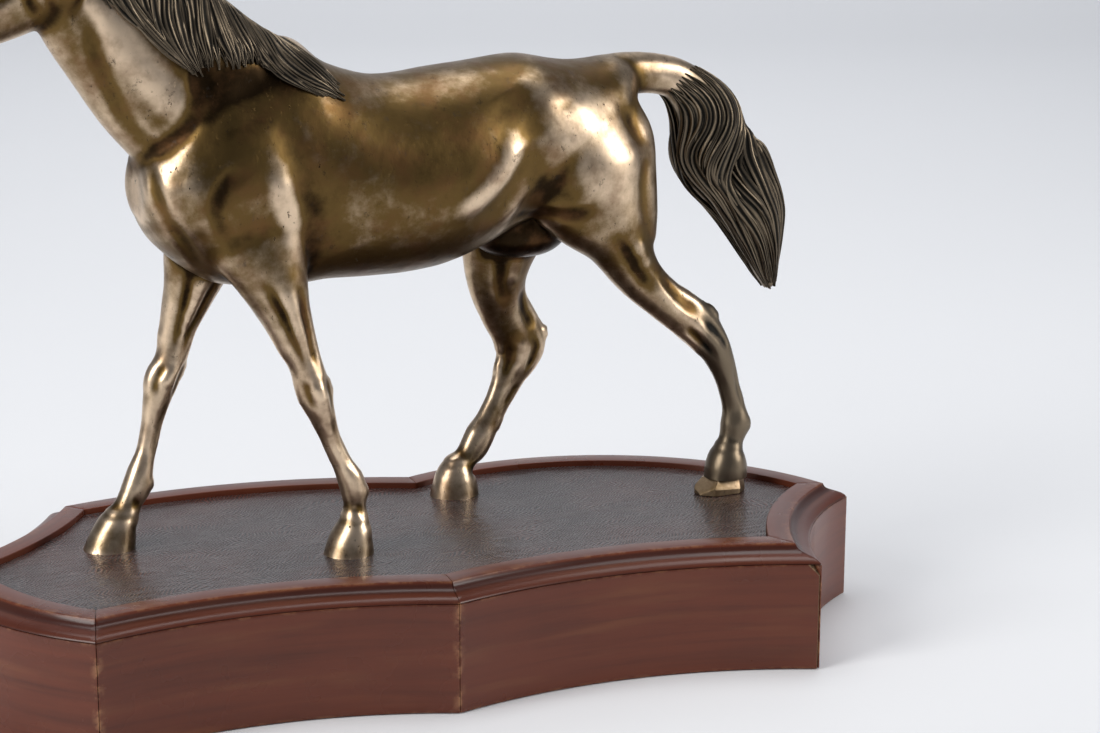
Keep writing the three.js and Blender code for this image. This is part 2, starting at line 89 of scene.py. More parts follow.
# Each station is (x, y, z, half depth, half width) in the horse's own frame.
TRUNK = [
    (-145, 0, 187, 14, 14), (-139, 0, 186, 26, 26), (-127, 0, 187, 39, 34), (-110, 0, 189, 52, 39),
    (-90, 0, 191, 58, 39), (-68, 0, 193, 61, 39), (-50, 0, 187, 54, 42), (-20, 0, 182, 50, 45),
    (10, 0, 184, 50, 46), (35, 0, 189, 47, 44), (60, 0, 196, 42, 42), (80, 0, 198, 36, 40),
    (97, 0, 201, 31.5, 35), (111, 0, 206, 28, 28), (121, 0, 214, 19, 17), (127, 0, 219, 11, 9),
]
BUTTOCKS = [
    [(104, -11, 218, 13, 12), (107, -14, 205, 17, 15), (109.5, -16, 192, 20, 17), (109.5, -19, 172, 20, 18),
     (109, -22, 156, 20, 16), (109, -25, 140, 18, 13)],
    [(104, 11, 218, 13, 12), (106, 14, 205, 16, 15), (103, 17, 190, 18, 16), (95, 20, 172, 18, 17),
     (85, 23, 156, 18, 15), (78, 26, 142, 14, 12)],
]
NECK = [
    (-84, 0, 203, 45, 30), (-111, 0, 227, 44, 27), (-128, 0, 243, 42.5, 23), (-146, 0, 262, 38, 20),
    (-162, 0, 280, 34, 18), (-173, 0, 293, 29, 17),
]
HEAD = [
    (-160, 0, 306, 14, 10), (-168, 0, 302, 24, 15), (-183, 0, 296, 28, 17), (-197, 0, 287.5, 26, 17),
    (-210, 0, 279.5, 22.5, 15.5), (-224, 0, 271, 18, 12.5), (-238, 0, 263, 14.5, 10.5),
    (-249, 0, 256, 13, 11), (-256, 0, 251, 8, 8),
]
EAR = [
    (-172, 10, 314, 5, 4), (-174, 10, 324, 5.5, 5), (-178, 10, 335, 4, 3.5), (-181, 10, 344, 1, 1),
]
TAIL = [
    (98, 0, 221, 8.5, 15), (112, 0, 223, 10.5, 13), (126, 0, 223.5, 11.2, 10), (140, 0, 222.5, 10.8, 9),
    (155, 0, 218.5, 11, 10),
    (168, 0, 207, 15, 11), (174, 0, 196, 18, 12), (175, 0, 186, 18.5, 12), (173, 0, 176, 16, 11.5),
    (174, 0, 167, 11, 10), (178, 0, 159, 8, 8.5), (186, 0, 151, 6, 7), (194, 0, 142, 4, 5),
]
TAIL_SKIRT = [
    (187, 0, 192, 3, 4), (196, 0, 183, 8, 7), (200, 0, 172, 12.5, 9.5), (200, 0, 161, 16.5, 11.5),
    (202, 0, 150, 18, 12), (206, 0, 139, 15, 11.5), (209.5, 0, 126, 10.5, 10), (212.5, 0, 113, 6.5, 7),
    (217, 0, 101, 3.2, 3.5),
]
SHEATH = [
    (34, 0, 151, 9, 9), (44, 0, 147.5, 12, 12), (57, 0, 146.5, 14, 15), (70, 0, 147, 14.5, 16),
    (81, 0, 149, 13, 14), (90, 0, 155, 9, 10),
]
LEGS = {
    "off_foreleg": [
        (-98, 16, 190, 26, 15), (-101, 20, 165, 26, 16), (-105, 25, 143, 18.5, 14), (-110, 28, 124, 12.5, 11),
        (-115, 30, 108, 9, 8.5), (-119, 31, 93, 7.8, 8), (-123.5, 32, 83, 8.6, 8.6), (-127, 32, 72, 6.8, 7),
        (-130, 32, 60, 5.2, 5), (-133, 32, 48, 5, 4.8), (-137, 32, 36, 6.6, 6.5), (-139, 32, 29, 7.4, 7),
        (-143, 32, 22, 6.6, 6.5), (-146, 32, 16, 8, 8.5), (-149, 32, 12, 9.5, 10), (-152, 32, 5, 11.6, 11.5),
        (-155, 32, -5, 13.4, 13),
    ],
    "near_foreleg": [
        (-97, -16, 190, 26, 15), (-94, -20, 165, 27, 16), (-88, -25, 143, 19, 14), (-82, -28, 124, 12.5, 11),
        (-77.5, -30, 110, 9.8, 9), (-73.5, -31, 98, 8.2, 8.4), (-69.5, -32, 83, 8.4, 8.6),
        (-65.5, -32, 71, 6.4, 6.8), (-61, -32, 58, 4.9, 4.8), (-56, -32, 47, 5, 4.8),
        (-51, -32, 37, 6.6, 6.4), (-49.5, -32, 31, 6.6, 6.4), (-49, -32, 24, 5.6, 5.8),
        (-49.5, -32, 17, 7.2, 8), (-50, -32, 12, 9, 10),
        (-51.5, -32, 5, 11.4, 11.5), (-53, -32, -5, 13.4, 13),
    ],
    "off_hindleg": [
        (84, 16, 205, 28, 20), (78, 19, 180, 36, 22), (70, 22, 156, 32, 20), (64, 27, 130, 21, 15),
        (64, 29, 113, 16.5, 12), (69, 31, 98, 14, 9.5), (76, 32, 86, 14, 8.2), (79.5, 32, 77, 14.5, 7.8),
        (77.5, 32, 70, 12.5, 7.2), (73, 32, 62, 9.6, 6.4), (69.5, 32, 55, 8.2, 5.9), (64.5, 32, 46, 7.2, 5.5),
        (59.5, 32, 38, 7, 5.6), (54.5, 32, 30, 8.2, 7.1), (51, 32, 24, 8, 6.9), (46, 32, 18.5, 6.7, 6.6),
        (41.5, 32, 14, 9.2, 8.8), (40, 32, 9, 11.4, 10.4), (39.5, 32, 3, 12.8, 11.6), (39, 32, -5, 14, 12.6),
    ],
    "near_hindleg": [
        (86, -16, 208, 28, 20), (86, -20, 186, 38, 23), (92, -22, 164, 31, 21), (104.5, -26, 142, 18, 16),
        (115, -29, 123.5, 12.8, 11), (130, -31, 108.5, 10.8, 9), (146, -32, 96.5, 11.4, 8),
        (159, -32, 83, 9.6, 7.4), (167, -32, 68, 7, 6.2), (171, -32, 56, 6, 5.4), (174, -32, 46, 6.4, 5.4),
        (175, -32, 36, 8, 7), (173, -32, 28, 6.8, 6.4), (171.5, -32, 23, 8.4, 8.5),
        (170.5, -32, 18, 10.4, 10.4), (170, -32, 13, 11.6, 11.2), (169.5, -32, 5, 11.8, 11.4),
    ],
}

# ------------------------------------------------------------------ modelling the muscles

# Strokes drawn on the skin from the side: (side, radius, height, (x, z) points). Side is -1 for
# the near side, 1 for the off side, 0 for both; a height below nought cuts a groove.
FLESH_SPREAD, FLESH_DEPTH = 1.25, 0.55
LIMB_SPREAD, LIMB_DEPTH = 1.1, 0.75
# How far the rubbed patina, painted highlights and painted shade spread round their strokes.
RUB_AND_PAINTED_LIGHT_SPREAD = 1.9
FLESH = [
    # neck and shoulder
    (0, 11, 2.2, [(-176, 294), (-167, 278), (-160, 266), (-149, 249), (-137, 235), (-128, 222), (-131, 210)]),
    (0, 6, -1.8, [(-180, 283), (-171, 268), (-167, 249), (-160, 231), (-149, 213), (-137, 203)]),
    (0, 6, -2.0, [(-118, 248), (-122, 238), (-125, 224), (-131, 213), (-142, 202)]),
    (0, 14, 2.0, [(-145, 196), (-143, 182), (-139, 168)]),
    (0, 5, -2.2, [(-144, 200), (-142, 185), (-138, 173), (-129, 160), (-119, 146)]),
    (0, 5, -1.5, [(-106, 198), (-114, 192), (-119, 182), (-117, 170), (-110, 160)]),
    (0, 12, 1.6, [(-128, 196), (-127, 182), (-120, 166)]),
    (0, 20, 2.4, [(-103, 216), (-97, 196), (-89, 176)]),
    (0, 7, 2.2, [(-92, 196), (-86, 180), (-81, 165), (-78, 154)]),
    (0, 8, -1.2, [(-86, 226), (-82, 208), (-75, 190), (-70, 170), (-69, 154)]),
    (0, 9, -1.2, [(-103, 240), (-98, 226), (-93, 214)]),
    # back, ribs and belly
    (0, 16, -1.2, [(-62, 224), (-40, 218), (-15, 216)]),
    (0, 22, 1.2, [(-55, 190), (-25, 182), (5, 184)]),
    (0, 13, -1.5, [(-66, 186), (-60, 166), (-52, 152)]),
    # hip, flank and thigh
    (0, 13, 1.3, [(50, 232), (60, 224), (66, 214)]),
    (0, 15, -2.0, [(34, 222), (42, 210), (46, 198)]),
    (0, 7, 2.0, [(38, 208), (35, 197), (29, 187), (21, 179), (12, 172), (0, 168)]),
    (0, 9, -2.2, [(48, 200), (44, 188), (36, 176), (26, 166), (12, 158)]),
    (0, 8, -2.4, [(54, 190), (50, 176), (46, 164), (44, 154)]),
    (0, 24, 2.2, [(66, 214), (80, 200), (92, 182), (97, 162)]),
    (0, 10, -0.6, [(70, 226), (84, 218), (98, 212)]),
    (0, 6, -0.9, [(102, 214), (110, 196), (114, 172), (115, 150)]),
    (0, 9, 0.7, [(120, 204), (124, 192), (124, 182)]),
    (0, 12, 2.0, [(64, 172), (60, 158), (60, 146)]),
    # sheath fold
    (0, 5, -1.8, [(40, 158), (56, 160), (74, 160), (86, 164)]),
    # mane bed
    (-1, 12, 1.4, [(-150, 300), (-142, 280), (-135, 262), (-124, 252)]),
    (-1, 12, 1.2, [(-118, 272), (-108, 258), (-96, 250), (-80, 246)]),
]
# Strokes on the head.
FACE = [
    (0, 13, 2.0, [(-186, 292), (-184, 284), (-190, 280)]),
    (0, 4, -1.6, [(-177, 306), (-172, 295), (-172, 283), (-178, 273)]),
    (0, 5, -1.2, [(-199, 292), (-199, 280), (-193, 270)]),
    (0, 3.2, 1.4, [(-196, 299), (-206, 293), (-216, 287)]),
    (0, 7, -1.2, [(-206, 284), (-220, 277), (-232, 270)]),
    (0, 6, -1.8, [(-199, 306), (-208, 300)]),
    (0, 3.2, 1.6, [(-186, 309), (-191, 311.5), (-197, 309), (-200, 304)]),
    (0, 3.2, 1.0, [(-187, 305), (-192, 301), (-199, 302)]),
    (0, 3.4, 1.8, [(-192, 305), (-194.5, 305)]),
    (0, 4.2, 1.8, [(-243, 270), (-250, 266), (-253, 260), (-249, 257)]),
    (0, 2.6, -3.2, [(-246, 266), (-249, 262), (-248, 260)]),
    (0, 1.8, -1.8, [(-261, 251), (-253, 250), (-244, 251), (-238, 253)]),
    (0, 4, 1.4, [(-255, 246), (-249, 243)]),
    (0, 5, -1.4, [(-240, 248), (-232, 250)]),
]

# Each leg stroke is (radius, height, [(z, bearing in degrees from the front)]) round the leg itself.
FORELEG = [
    (4, -1.9, [(140, 62), (124, 66), (108, 70), (97, 74)]),
    (3.6, -2.2, [(136, 118), (120, 116), (106, 112), (96, 110)]),
    (6, 1.0, [(138, 90), (122, 92), (108, 92)]),
    (5, 0.9, [(130, 20), (112, 14), (98, 10)]),
    (4.5, 0.8, [(92, 0), (84, 0), (77, 0)]),
    (3.4, -1.2, [(92, 50), (84, 46), (77, 52)]),
    (4, 1.4, [(90, 90), (80, 92)]),
    (4, 1.1, [(92, 178), (86, 180), (81, 180)]),
    (3, -1.2, [(92, 140), (84, 136), (74, 132)]),
    (2.4, -1.1, [(73, 118), (62, 116), (50, 116), (42, 118)]),
    (2.4, 0.6, [(72, 180), (60, 180), (46, 180)]),
    (4.4, 1.4, [(34, 140), (31, 150), (28, 160)]),
    (3, 1.4, [(30, 180), (27, 180)]),
    (3, -1.0, [(25, 80), (22, 100), (20, 120)]),
    (2.2, -1.3, [(17.5, 180), (15, 180), (9, 180)]),
]
HINDLEG = [
    (5, -1.6, [(146, 70), (132, 74), (118, 76)]),
    (6, 1.2, [(144, 100), (128, 98)]),
    (6, -2.4, [(124, 134), (112, 130), (100, 126)]),
    (4, 1.3, [(122, 180), (108, 180), (96, 180)]),
    (5, 1.7, [(100, 178), (93, 178)]),
    (5, 1.4, [(96, 78), (86, 84), (76, 92)]),
    (4, -1.6, [(97, 112), (88, 116), (78, 118)]),
    (3.6, 1.0, [(94, 20), (84, 12), (76, 8)]),
    (3, -1.0, [(94, 44), (84, 46), (76, 50)]),
    (2.6, -1.1, [(70, 118), (58, 116), (46, 116)]),
    (2.6, 0.6, [(70, 180), (58, 180), (46, 180)]),
    (4.6, 1.4, [(40, 142), (36, 150), (32, 160)]),
    (3, 1.4, [(35, 180), (31, 180)]),
    (2.2, -1.2, [(21, 180), (17, 180), (12, 180)]),
]

# The off hind leg is bent, which brings its hock down by this much.
LOW_HOCK = 14

# Where handling has rubbed the patina bright, together with painted highlights along the bands where the
# lamps reflect on the neck, breast, shoulder, back, flank, thigh, hock and tail; below nought, painted shade
# in the groin, on the shoulder and barrel, in the leg hollows, and under the belly and the mane.
RUBS_AND_PAINTED_LIGHT = [
    (0, 9, 1.35, [(-176, 294), (-167, 278), (-158, 262), (-147, 246), (-137, 233), (-130, 222)]),
    (0, 7, 0.6, [(-148, 196), (-149, 180), (-143, 165)]),
    (0, 7, 0.75, [(-91, 192), (-85, 176), (-80, 162), (-76, 150)]),
    (0, 9, 0.45, [(-66, 238), (-40, 229), (0, 228), (34, 231)]),
    (0, 18, 0.85, [(63, 220), (76, 206), (88, 190), (96, 170), (101, 148)]),
    (0, 9, 0.5, [(122, 206), (125, 190), (126, 172)]),
    (0, 9, 0.6, [(136, 228), (150, 227), (162, 222)]),
    (0, 7, 0.4, [(132, 116), (142, 106), (154, 94)]),
    (0, 10, -0.7, [(56, 184), (62, 172), (70, 160), (82, 150)]),
    (0, 4, -1.3, [(-64, 118), (-61, 104), (-58, 92)]),
    (0, 5, 0.5, [(37, 206), (35, 197), (29, 187), (21, 179), (12, 171), (0, 168)]),
    (0, 18, -0.4, [(-116, 240), (-110, 220), (-108, 200)]),
    (0, 12, -0.5, [(-52, 142), (-20, 138), (16, 144)]),
    (-1, 7, -0.9, [(-128, 240), (-118, 236), (-100, 238), (-84, 236), (-66, 228)]),
    (0, 9, -0.6, [(94, 152), (106, 138), (116, 126)]),
    (0, 9, -0.5, [(-106, 196), (-117, 184), (-114, 166)]),
    (0, 14, -0.4, [(-30, 196), (0, 190), (20, 196)]),
]

# Guide lines of the mane on the near side, from the crest down, front to back.
MANE = [
    [(-161, 316), (-168, 304), (-170, 292), (-166, 281), (-158, 270)],
    [(-156, 314), (-162, 300), (-160, 288), (-155, 275), (-147, 264), (-140, 255)],
    [(-150, 311), (-155, 296), (-155, 280), (-148, 268), (-141, 259), (-132, 249), (-126, 243), (-121, 238)],
    [(-142, 305), (-142, 290), (-139, 277), (-140, 269), (-138, 260), (-132, 251), (-126, 244), (-121, 238)],
    [(-136, 301), (-134, 288), (-132, 276), (-134, 270), (-133, 262), (-130, 252), (-124, 244), (-120, 239)],
    [(-129, 296), (-127, 286), (-126, 276), (-125, 268), (-125, 258), (-122, 248), (-119, 240)],
    [(-122, 290), (-121, 282), (-121, 276), (-121, 267), (-121, 257), (-118, 248), (-117, 240)],
    [(-116, 285), (-115, 279), (-115, 274), (-117, 267), (-116, 256), (-114, 247), (-114, 241)],
    [(-111, 281), (-110, 274), (-108, 264), (-105, 254), (-102, 247), (-101, 241)],
    [(-105, 276), (-104, 268), (-101, 258), (-97, 249), (-96, 242)],
    [(-99, 271), (-96, 262), (-93, 253), (-90, 247), (-88, 241)],
    [(-94, 267), (-90, 258), (-86, 248), (-80, 239), (-71, 232), (-61, 227)],
    [(-88, 263), (-83, 255), (-80, 246), (-74, 238), (-67, 234), (-58, 229), (-50, 224)],
    [(-82, 259), (-78, 252), (-73, 245), (-67, 238), (-59, 231), (-50, 225)],
    [(-75, 255), (-69, 248), (-63, 242), (-55, 235), (-47, 230)],
]
# Guide lines of the forelock, along the forehead.
FORELOCK = [
    [(-176, 324), (-186, 325), (-198, 320), (-207, 312), (-213, 305)],
    [(-177, 318), (-186, 316), (-194, 311), (-200, 306), (-205, 300)],
]
# Guide lines of the tail hair, seen from the near side, from the inner edge outwards.
TAIL_HAIR = [
    [(146, 213), (154, 207), (158, 198), (158, 188), (158, 176), (164, 166), (174, 156), (186, 144),
     (197, 128), (207, 112), (214, 102)],
    [(150, 218), (159, 211), (165, 203), (165, 194), (161, 186), (160, 178), (166, 167), (176, 156),
     (190, 140), (200, 124), (208, 111), (215, 101)],
    [(154, 222), (166, 214), (173, 204), (173, 194), (168, 184), (165, 176), (168, 167), (180, 154),
     (196, 134), (204, 119), (211, 107), (216, 100)],
    [(160, 225), (174, 216), (181, 204), (182, 195), (176, 185), (170, 176), (170, 166), (183, 152),
     (199, 129), (207, 114), (212, 105), (217, 99)],
    [(168, 225), (181, 214), (189, 203), (188, 192), (183, 182), (179, 172), (176, 163), (186, 150),
     (201, 131), (208, 113), (213, 104), (218, 98)],
    [(174, 223), (187, 210), (192, 196), (190, 186), (185, 177), (182, 168), (184, 158), (196, 147),
     (206, 132), (211, 118), (215, 107), (218, 99)],
    [(180, 219), (191, 207), (194, 195), (192, 186), (189, 177), (189, 168), (195, 158), (204, 148),
     (210, 134), (214, 120), (217, 108), (219, 99)],
    [(192, 187), (196, 181), (198, 173), (204, 163), (209, 154), (212, 142), (213, 128), (216, 112),
     (219, 100)],
    [(193, 186), (201, 182), (206, 174), (209, 165), (213, 155), (216, 145), (215, 134), (216, 120),
     (218, 107), (219.5, 99)],
]


# ------------------------------------------------------------------ properties

class STATUE_PG_plinth(bpy.types.PropertyGroup):
    mahogany: FloatVectorProperty(
        name="Mahogany", description="Colour of the boards and mouldings", subtype="COLOR",
        default=(0.128, 0.030, 0.013), min=0, max=1)
    mahogany_dark: FloatVectorProperty(
        name="Mahogany figure", description="Colour of the dark figure and the hollows", subtype="COLOR",
        default=(0.046, 0.011, 0.006), min=0, max=1)
    panel_colour: FloatVectorProperty(
        name="Panel", description="Colour of the tooled panel", subtype="COLOR",
        default=(0.070, 0.030, 0.024), min=0, max=1)
    ripple: FloatProperty(
        name="Tool mark depth", description="Height of the tool marks on the panel", unit="LENGTH",
        default=0.00010, min=0, max=0.001, precision=5)
    worn_edge: FloatProperty(
        name="Edge rounding", description="Rounding of the board and moulding edges", unit="LENGTH",
        default=0.0004, min=0.0001, max=0.002, precision=5)


class STATUE_PG_bronze(bpy.types.PropertyGroup):
    voxel: FloatProperty(
        name="Skin detail", description="Edge length of the mesh on the castings", unit="LENGTH",
        default=0.00128, min=0.0008, max=0.004, precision=5)
    # Also the colour of the painted shade in the groin, in the leg hollows and under the belly and mane.
    recess: FloatVectorProperty(
        name="Recess", description="Colour of the brown patina in the hollows", subtype="COLOR",
        default=(0.022, 0.013, 0.006), min=0, max=1)
    olive: FloatVectorProperty(
        name="Patina", description="Colour of the olive patina", subtype="COLOR",
        default=(0.135, 0.083, 0.028), min=0, max=1)
    # Also the colour of the painted highlights along the neck, shoulder, back and thigh.
    rubbed: FloatVectorProperty(
        name="Rubbed metal", description="Colour where handling has rubbed the patina", subtype="COLOR",
        default=(0.74, 0.57, 0.40), min=0, max=1)
    hair: FloatVectorProperty(
        name="Hair", description="Colour of the dark mane and tail", subtype="COLOR",
        default=(0.015, 0.014, 0.012), min=0, max=1)
    mane_locks: IntProperty(
        name="Mane locks", description="Number of locks in the mane", default=46, min=10, max=80)
    tail_locks: IntProperty(
        name="Tail locks", description="Number of locks on each side of the tail", default=19, min=8, max=40)


class STATUE_PG_stage(bpy.types.PropertyGroup):
    focal: FloatProperty(
        name="Lens", description="Focal length in millimetres on a 36 mm wide sensor",
        default=85.1, min=20, max=300)
    floor: FloatVectorProperty(
        name="Floor", description="Colour of the floor and backdrop", subtype="COLOR",
        default=(0.80, 0.81, 0.83), min=0, max=1)


# ------------------------------------------------------------------ frames

def horse_to_plinth(x, y):
    """A plan point of the horse on the plinth, which it crosses at a slant."""
    c, s = math.cos(HORSE_TURN), math.sin(HORSE_TURN)
    return Vector((HORSE_AT[0] + c * x - s * y, HORSE_AT[1] + s * x + c * y))


def origin_shift():
    """Millimetres from the plinth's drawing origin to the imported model's origin."""
    low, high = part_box("stud_off_fore")
    middle = (low + high) / 2 / MM
    at = horse_to_plinth(*STUD_OFF_FORE)
    return Vector((middle.x - at.x, middle.y - at.y, 0))


SHIFT = origin_shift()
PLINTH_FRAME = Matrix.Scale(MM, 4) @ Matrix.Translation(SHIFT)
HORSE_FRAME = (
    PLINTH_FRAME @ Matrix.Translation((*HORSE_AT, HOOF_LEVEL)) @ Matrix.Rotation(HORSE_TURN, 4, "Z"))


# ------------------------------------------------------------------ finished pieces

def add_piece(name, mesh, materials, replaces):
    """Makes a finished object from a mesh already in metres, riding on the one body."""
    piece = bpy.data.objects.new(name, mesh)
    bpy.context.collection.objects.link(piece)
    for material in materials:
        mesh.materials.append(material)
    mesh.polygons.foreach_set("use_smooth", [True] * len(mesh.polygons))
    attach(piece, "root")
    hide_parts(*replaces)
    return piece


def mesh_from(bm, name, matrix):
    """Turns a bmesh, once placed, into a mesh."""
    bmesh.ops.transform(bm, matrix=matrix, verts=bm.verts)
    mesh = bpy.data.meshes.new(name)
    bm.to_mesh(mesh)
    bm.free()
    return mesh


def shade_by_angle(piece, degrees):
    """Keeps edges sharper than the angle crisp."""
    mesh = piece.data
    bm = bmesh.new()
    bm.from_mesh(mesh)
    limit = math.radians(degrees)
    for edge in bm.edges:
        edge.smooth = len(edge.link_faces) == 2 and edge.calc_face_angle(0) < limit
    bm.to_mesh(mesh)
    bm.free()


def cut_off(bm, point, way):
    """Removes what lies beyond a plane, on the side it points to, and gives the open rim's edges."""
    cut = bmesh.ops.bisect_plane(
        bm, geom=bm.verts[:] + bm.edges[:] + bm.faces[:], plane_co=point, plane_no=way, clear_outer=True)
    return [item for item in cut["geom_cut"] if isinstance(item, bmesh.types.BMEdge)]


def point_attribute(mesh, name, values):
    layer = mesh.attributes.new(name, "FLOAT", "POINT")
    layer.data.foreach_set("value", np.asarray(values, np.float32))


def ramp01(values, low, high):
    """Eases from 0 at the low value to 1 at the high one."""
    t = np.clip((values - low) / (high - low), 0, 1)
    return t * t * (3 - 2 * t)


def ripple_noise(points, size, seed, octaves=3):
    """Smooth seeded noise between -1 and 1, summed from turned sine waves."""
    rng = np.random.default_rng(seed)
    total = np.zeros(len(points))
    weight = 0
    for octave in range(octaves):
        for _ in range(4):
            way = rng.normal(size=3)
            way /= np.linalg.norm(way)
            phase = rng.uniform(0, 2 * np.pi)
            pull = rng.uniform(0.7, 1.4)
            total += np.sin(points @ way * (2 * np.pi * pull * 2 ** octave / size) + phase) / 2 ** octave
            weight += 1 / 2 ** octave
    return total / weight * 1.6


# ------------------------------------------------------------------ materials

class Recipe:
    """A material's node tree, built by name."""

    def __init__(self, name):
        self.material = bpy.data.materials.new(name)
        self.material.use_nodes = True
        self.nodes = self.material.node_tree.nodes
        self.links = self.material.node_tree.links
        self.shader = self.nodes["Principled BSDF"]
        self.place = self.nodes.new("ShaderNodeTexCoord").outputs["Object"]

    def join(self, source, socket):
        if hasattr(source, "is_output"):
            self.links.new(source, socket)
        else:
            socket.default_value = source

    def stretched(self, scale, turn=(0, 0, 0), source=None):
        node = self.nodes.new("ShaderNodeMapping")
        self.links.new(source or self.place, node.inputs["Vector"])
        node.inputs["Scale"].default_value = scale
        node.inputs["Rotation"].default_value = turn
        return node.outputs["Vector"]

    def noise(self, vector, scale, detail=4, rough=0.55, distortion=0):
        node = self.nodes.new("ShaderNodeTexNoise")
        self.links.new(vector, node.inputs["Vector"])
        node.inputs["Scale"].default_value = scale
        node.inputs["Detail"].default_value = detail
        node.inputs["Roughness"].default_value = rough
        node.inputs["Distortion"].default_value = distortion
        return node.outputs["Fac"]

    def spots(self, vector, scale):
        node = self.nodes.new("ShaderNodeTexVoronoi")
        self.links.new(vector, node.inputs["Vector"])
        node.inputs["Scale"].default_value = scale
        return node.outputs["Distance"]

    def waves(self, vector, scale, distortion, detail=2, detail_scale=1):
        node = self.nodes.new("ShaderNodeTexWave")
        self.links.new(vector, node.inputs["Vector"])
        node.inputs["Scale"].default_value = scale
        node.inputs["Distortion"].default_value = distortion
        node.inputs["Detail"].default_value = detail
        node.inputs["Detail Scale"].default_value = detail_scale
        return node.outputs["Fac"]

    def attribute(self, name):
        node = self.nodes.new("ShaderNodeAttribute")
        node.attribute_name = name
        return node.outputs["Fac"]

    def fit(self, value, low, high, to_low=0, to_high=1):
        node = self.nodes.new("ShaderNodeMapRange")
        node.interpolation_type = "SMOOTHSTEP"
        self.links.new(value, node.inputs["Value"])
        for socket, number in zip(list(node.inputs)[1:5], (low, high, to_low, to_high)):
            socket.default_value = number
        return node.outputs["Result"]

    def maths(self, operation, a, b=0):
        node = self.nodes.new("ShaderNodeMath")
        node.operation = operation
        self.join(a, node.inputs[0])
        self.join(b, node.inputs[1])
        return node.outputs["Value"]

    def swing(self, base, texture, amount):
        """The base, raised and lowered by a texture about its middle grey."""
        return self.maths("ADD", base, self.maths("MULTIPLY", self.maths("SUBTRACT", texture, 0.5), amount))

    def blend(self, amount, first, second):
        node = self.nodes.new("ShaderNodeMix")
        node.data_type = "RGBA"
        self.join(amount, node.inputs["Factor"])
        for value, socket in ((first, node.inputs[6]), (second, node.inputs[7])):
            self.join(value if hasattr(value, "is_output") else (*value, 1), socket)
        return node.outputs[2]

    def bump(self, height, strength, distance, normal=None):
        node = self.nodes.new("ShaderNodeBump")
        node.inputs["Strength"].default_value = strength
        node.inputs["Distance"].default_value = distance
        self.links.new(height, node.inputs["Height"])
        if normal:
            self.links.new(normal, node.inputs["Normal"])
        return node.outputs["Normal"]

    def finish(self, colour, roughness, normal=None, **fixed):
        if hasattr(colour, "is_output"):
            self.links.new(colour, self.shader.inputs["Base Color"])
        else:
            self.shader.inputs["Base Color"].default_value = (*colour, 1)
        self.join(roughness, self.shader.inputs["Roughness"])
        if normal:
            self.links.new(normal, self.shader.inputs["Normal"])
        for name, value in fixed.items():
            self.shader.inputs[name.replace("_", " ")].default_value = value
        return self.material


def bronze_material():
    """Olive-brown patina, dark in the hollows and the hair, rubbed bright on the ridges, with painted
    highlights on the neck, shoulder, back and thigh and painted shade in the groin and under the belly and
    mane.
    """
    look = bpy.context.scene.statue_bronze
    r = Recipe("bronze_patina")
    cavity = r.attribute("cavity")
    hair = r.attribute("hair")
    cloud = r.noise(r.place, 24, 6, 0.62)
    mottle = r.noise(r.place, 150, 5, 0.7)
    streak = r.noise(r.stretched((1, 1, 0.25)), 260, 3, 0.6, 0.4)
    height = r.swing(r.swing(cavity, cloud, 1.5), mottle, 0.8)
    patina_and_painted_light = r.maths("ADD", height, r.attribute("rub_and_painted_light"))
    # The recess colour covers the patina in the hollows and also the painted shade in the groin, in the leg
    # hollows and under the belly and mane.
    body = r.blend(r.fit(patina_and_painted_light, -0.75, 0.10), tuple(look.recess), tuple(look.olive))
    # The rubbed colour covers worn metal on the ridges and also the painted highlights along the neck,
    # shoulder, back and thigh.
    rub_and_painted_light = r.fit(patina_and_painted_light, 0.15, 1.35)
    body = r.blend(rub_and_painted_light, body, tuple(look.rubbed))
    warm = r.fit(r.noise(r.place, 60, 4, 0.6), 0.42, 0.75)
    body = r.blend(r.maths("MULTIPLY", warm, 0.6), body, (0.150, 0.072, 0.030))
    grey = r.fit(r.noise(r.stretched((1.3, 1, 0.8)), 85, 6, 0.75), 0.60, 0.72)
    body = r.blend(r.maths("MULTIPLY", grey, 0.5), body, (0.075, 0.060, 0.048))
    # The locks' ridges take a paler colour, partly bronze showing through the dark hair and partly a painted
    # highlight; their grooves keep the dark hair colour.
    locks = r.fit(r.swing(cavity, mottle, 0.5), -0.1, 0.9)
    tress = r.blend(locks, tuple(look.hair), (0.185, 0.145, 0.100))
    body = r.blend(hair, body, tress)
    scratch_at = r.stretched((1, 1, 0.35), (0.5, 0.3, 0.2))
    pits = r.fit(r.noise(scratch_at, 560, 5, 0.75), 0.625, 0.665)
    pits = r.maths("MULTIPLY", pits, r.fit(r.noise(r.place, 48, 4, 0.65), 0.46, 0.58))
    smudge = r.fit(r.noise(r.stretched((1.2, 1, 1), (0.4, 0, 0.3)), 130, 6, 0.78), 0.60, 0.68)
    smudge = r.maths("MULTIPLY", smudge, r.maths("SUBTRACT", 1, hair))
    body = r.blend(r.maths("MULTIPLY", smudge, 0.6), body, (0.034, 0.024, 0.017))
    pits = r.maths("MULTIPLY", pits, r.maths("SUBTRACT", 1, hair))
    body = r.blend(pits, body, (0.018, 0.011, 0.007))
    rough = r.fit(r.maths("ADD", height, r.maths("MULTIPLY", streak, 0.5)), -0.5, 1.1, 0.52, 0.31)
    rough = r.maths("ADD", rough, r.maths("MULTIPLY", hair, 0.06))
    normal = r.bump(r.maths("ADD", mottle, r.maths("MULTIPLY", streak, 0.6)), 0.35, 0.00022)
    normal = r.bump(r.maths("SUBTRACT", 1, pits), 0.7, 0.00035, normal)
    return r.finish(body, rough, normal, Metallic=1.0)


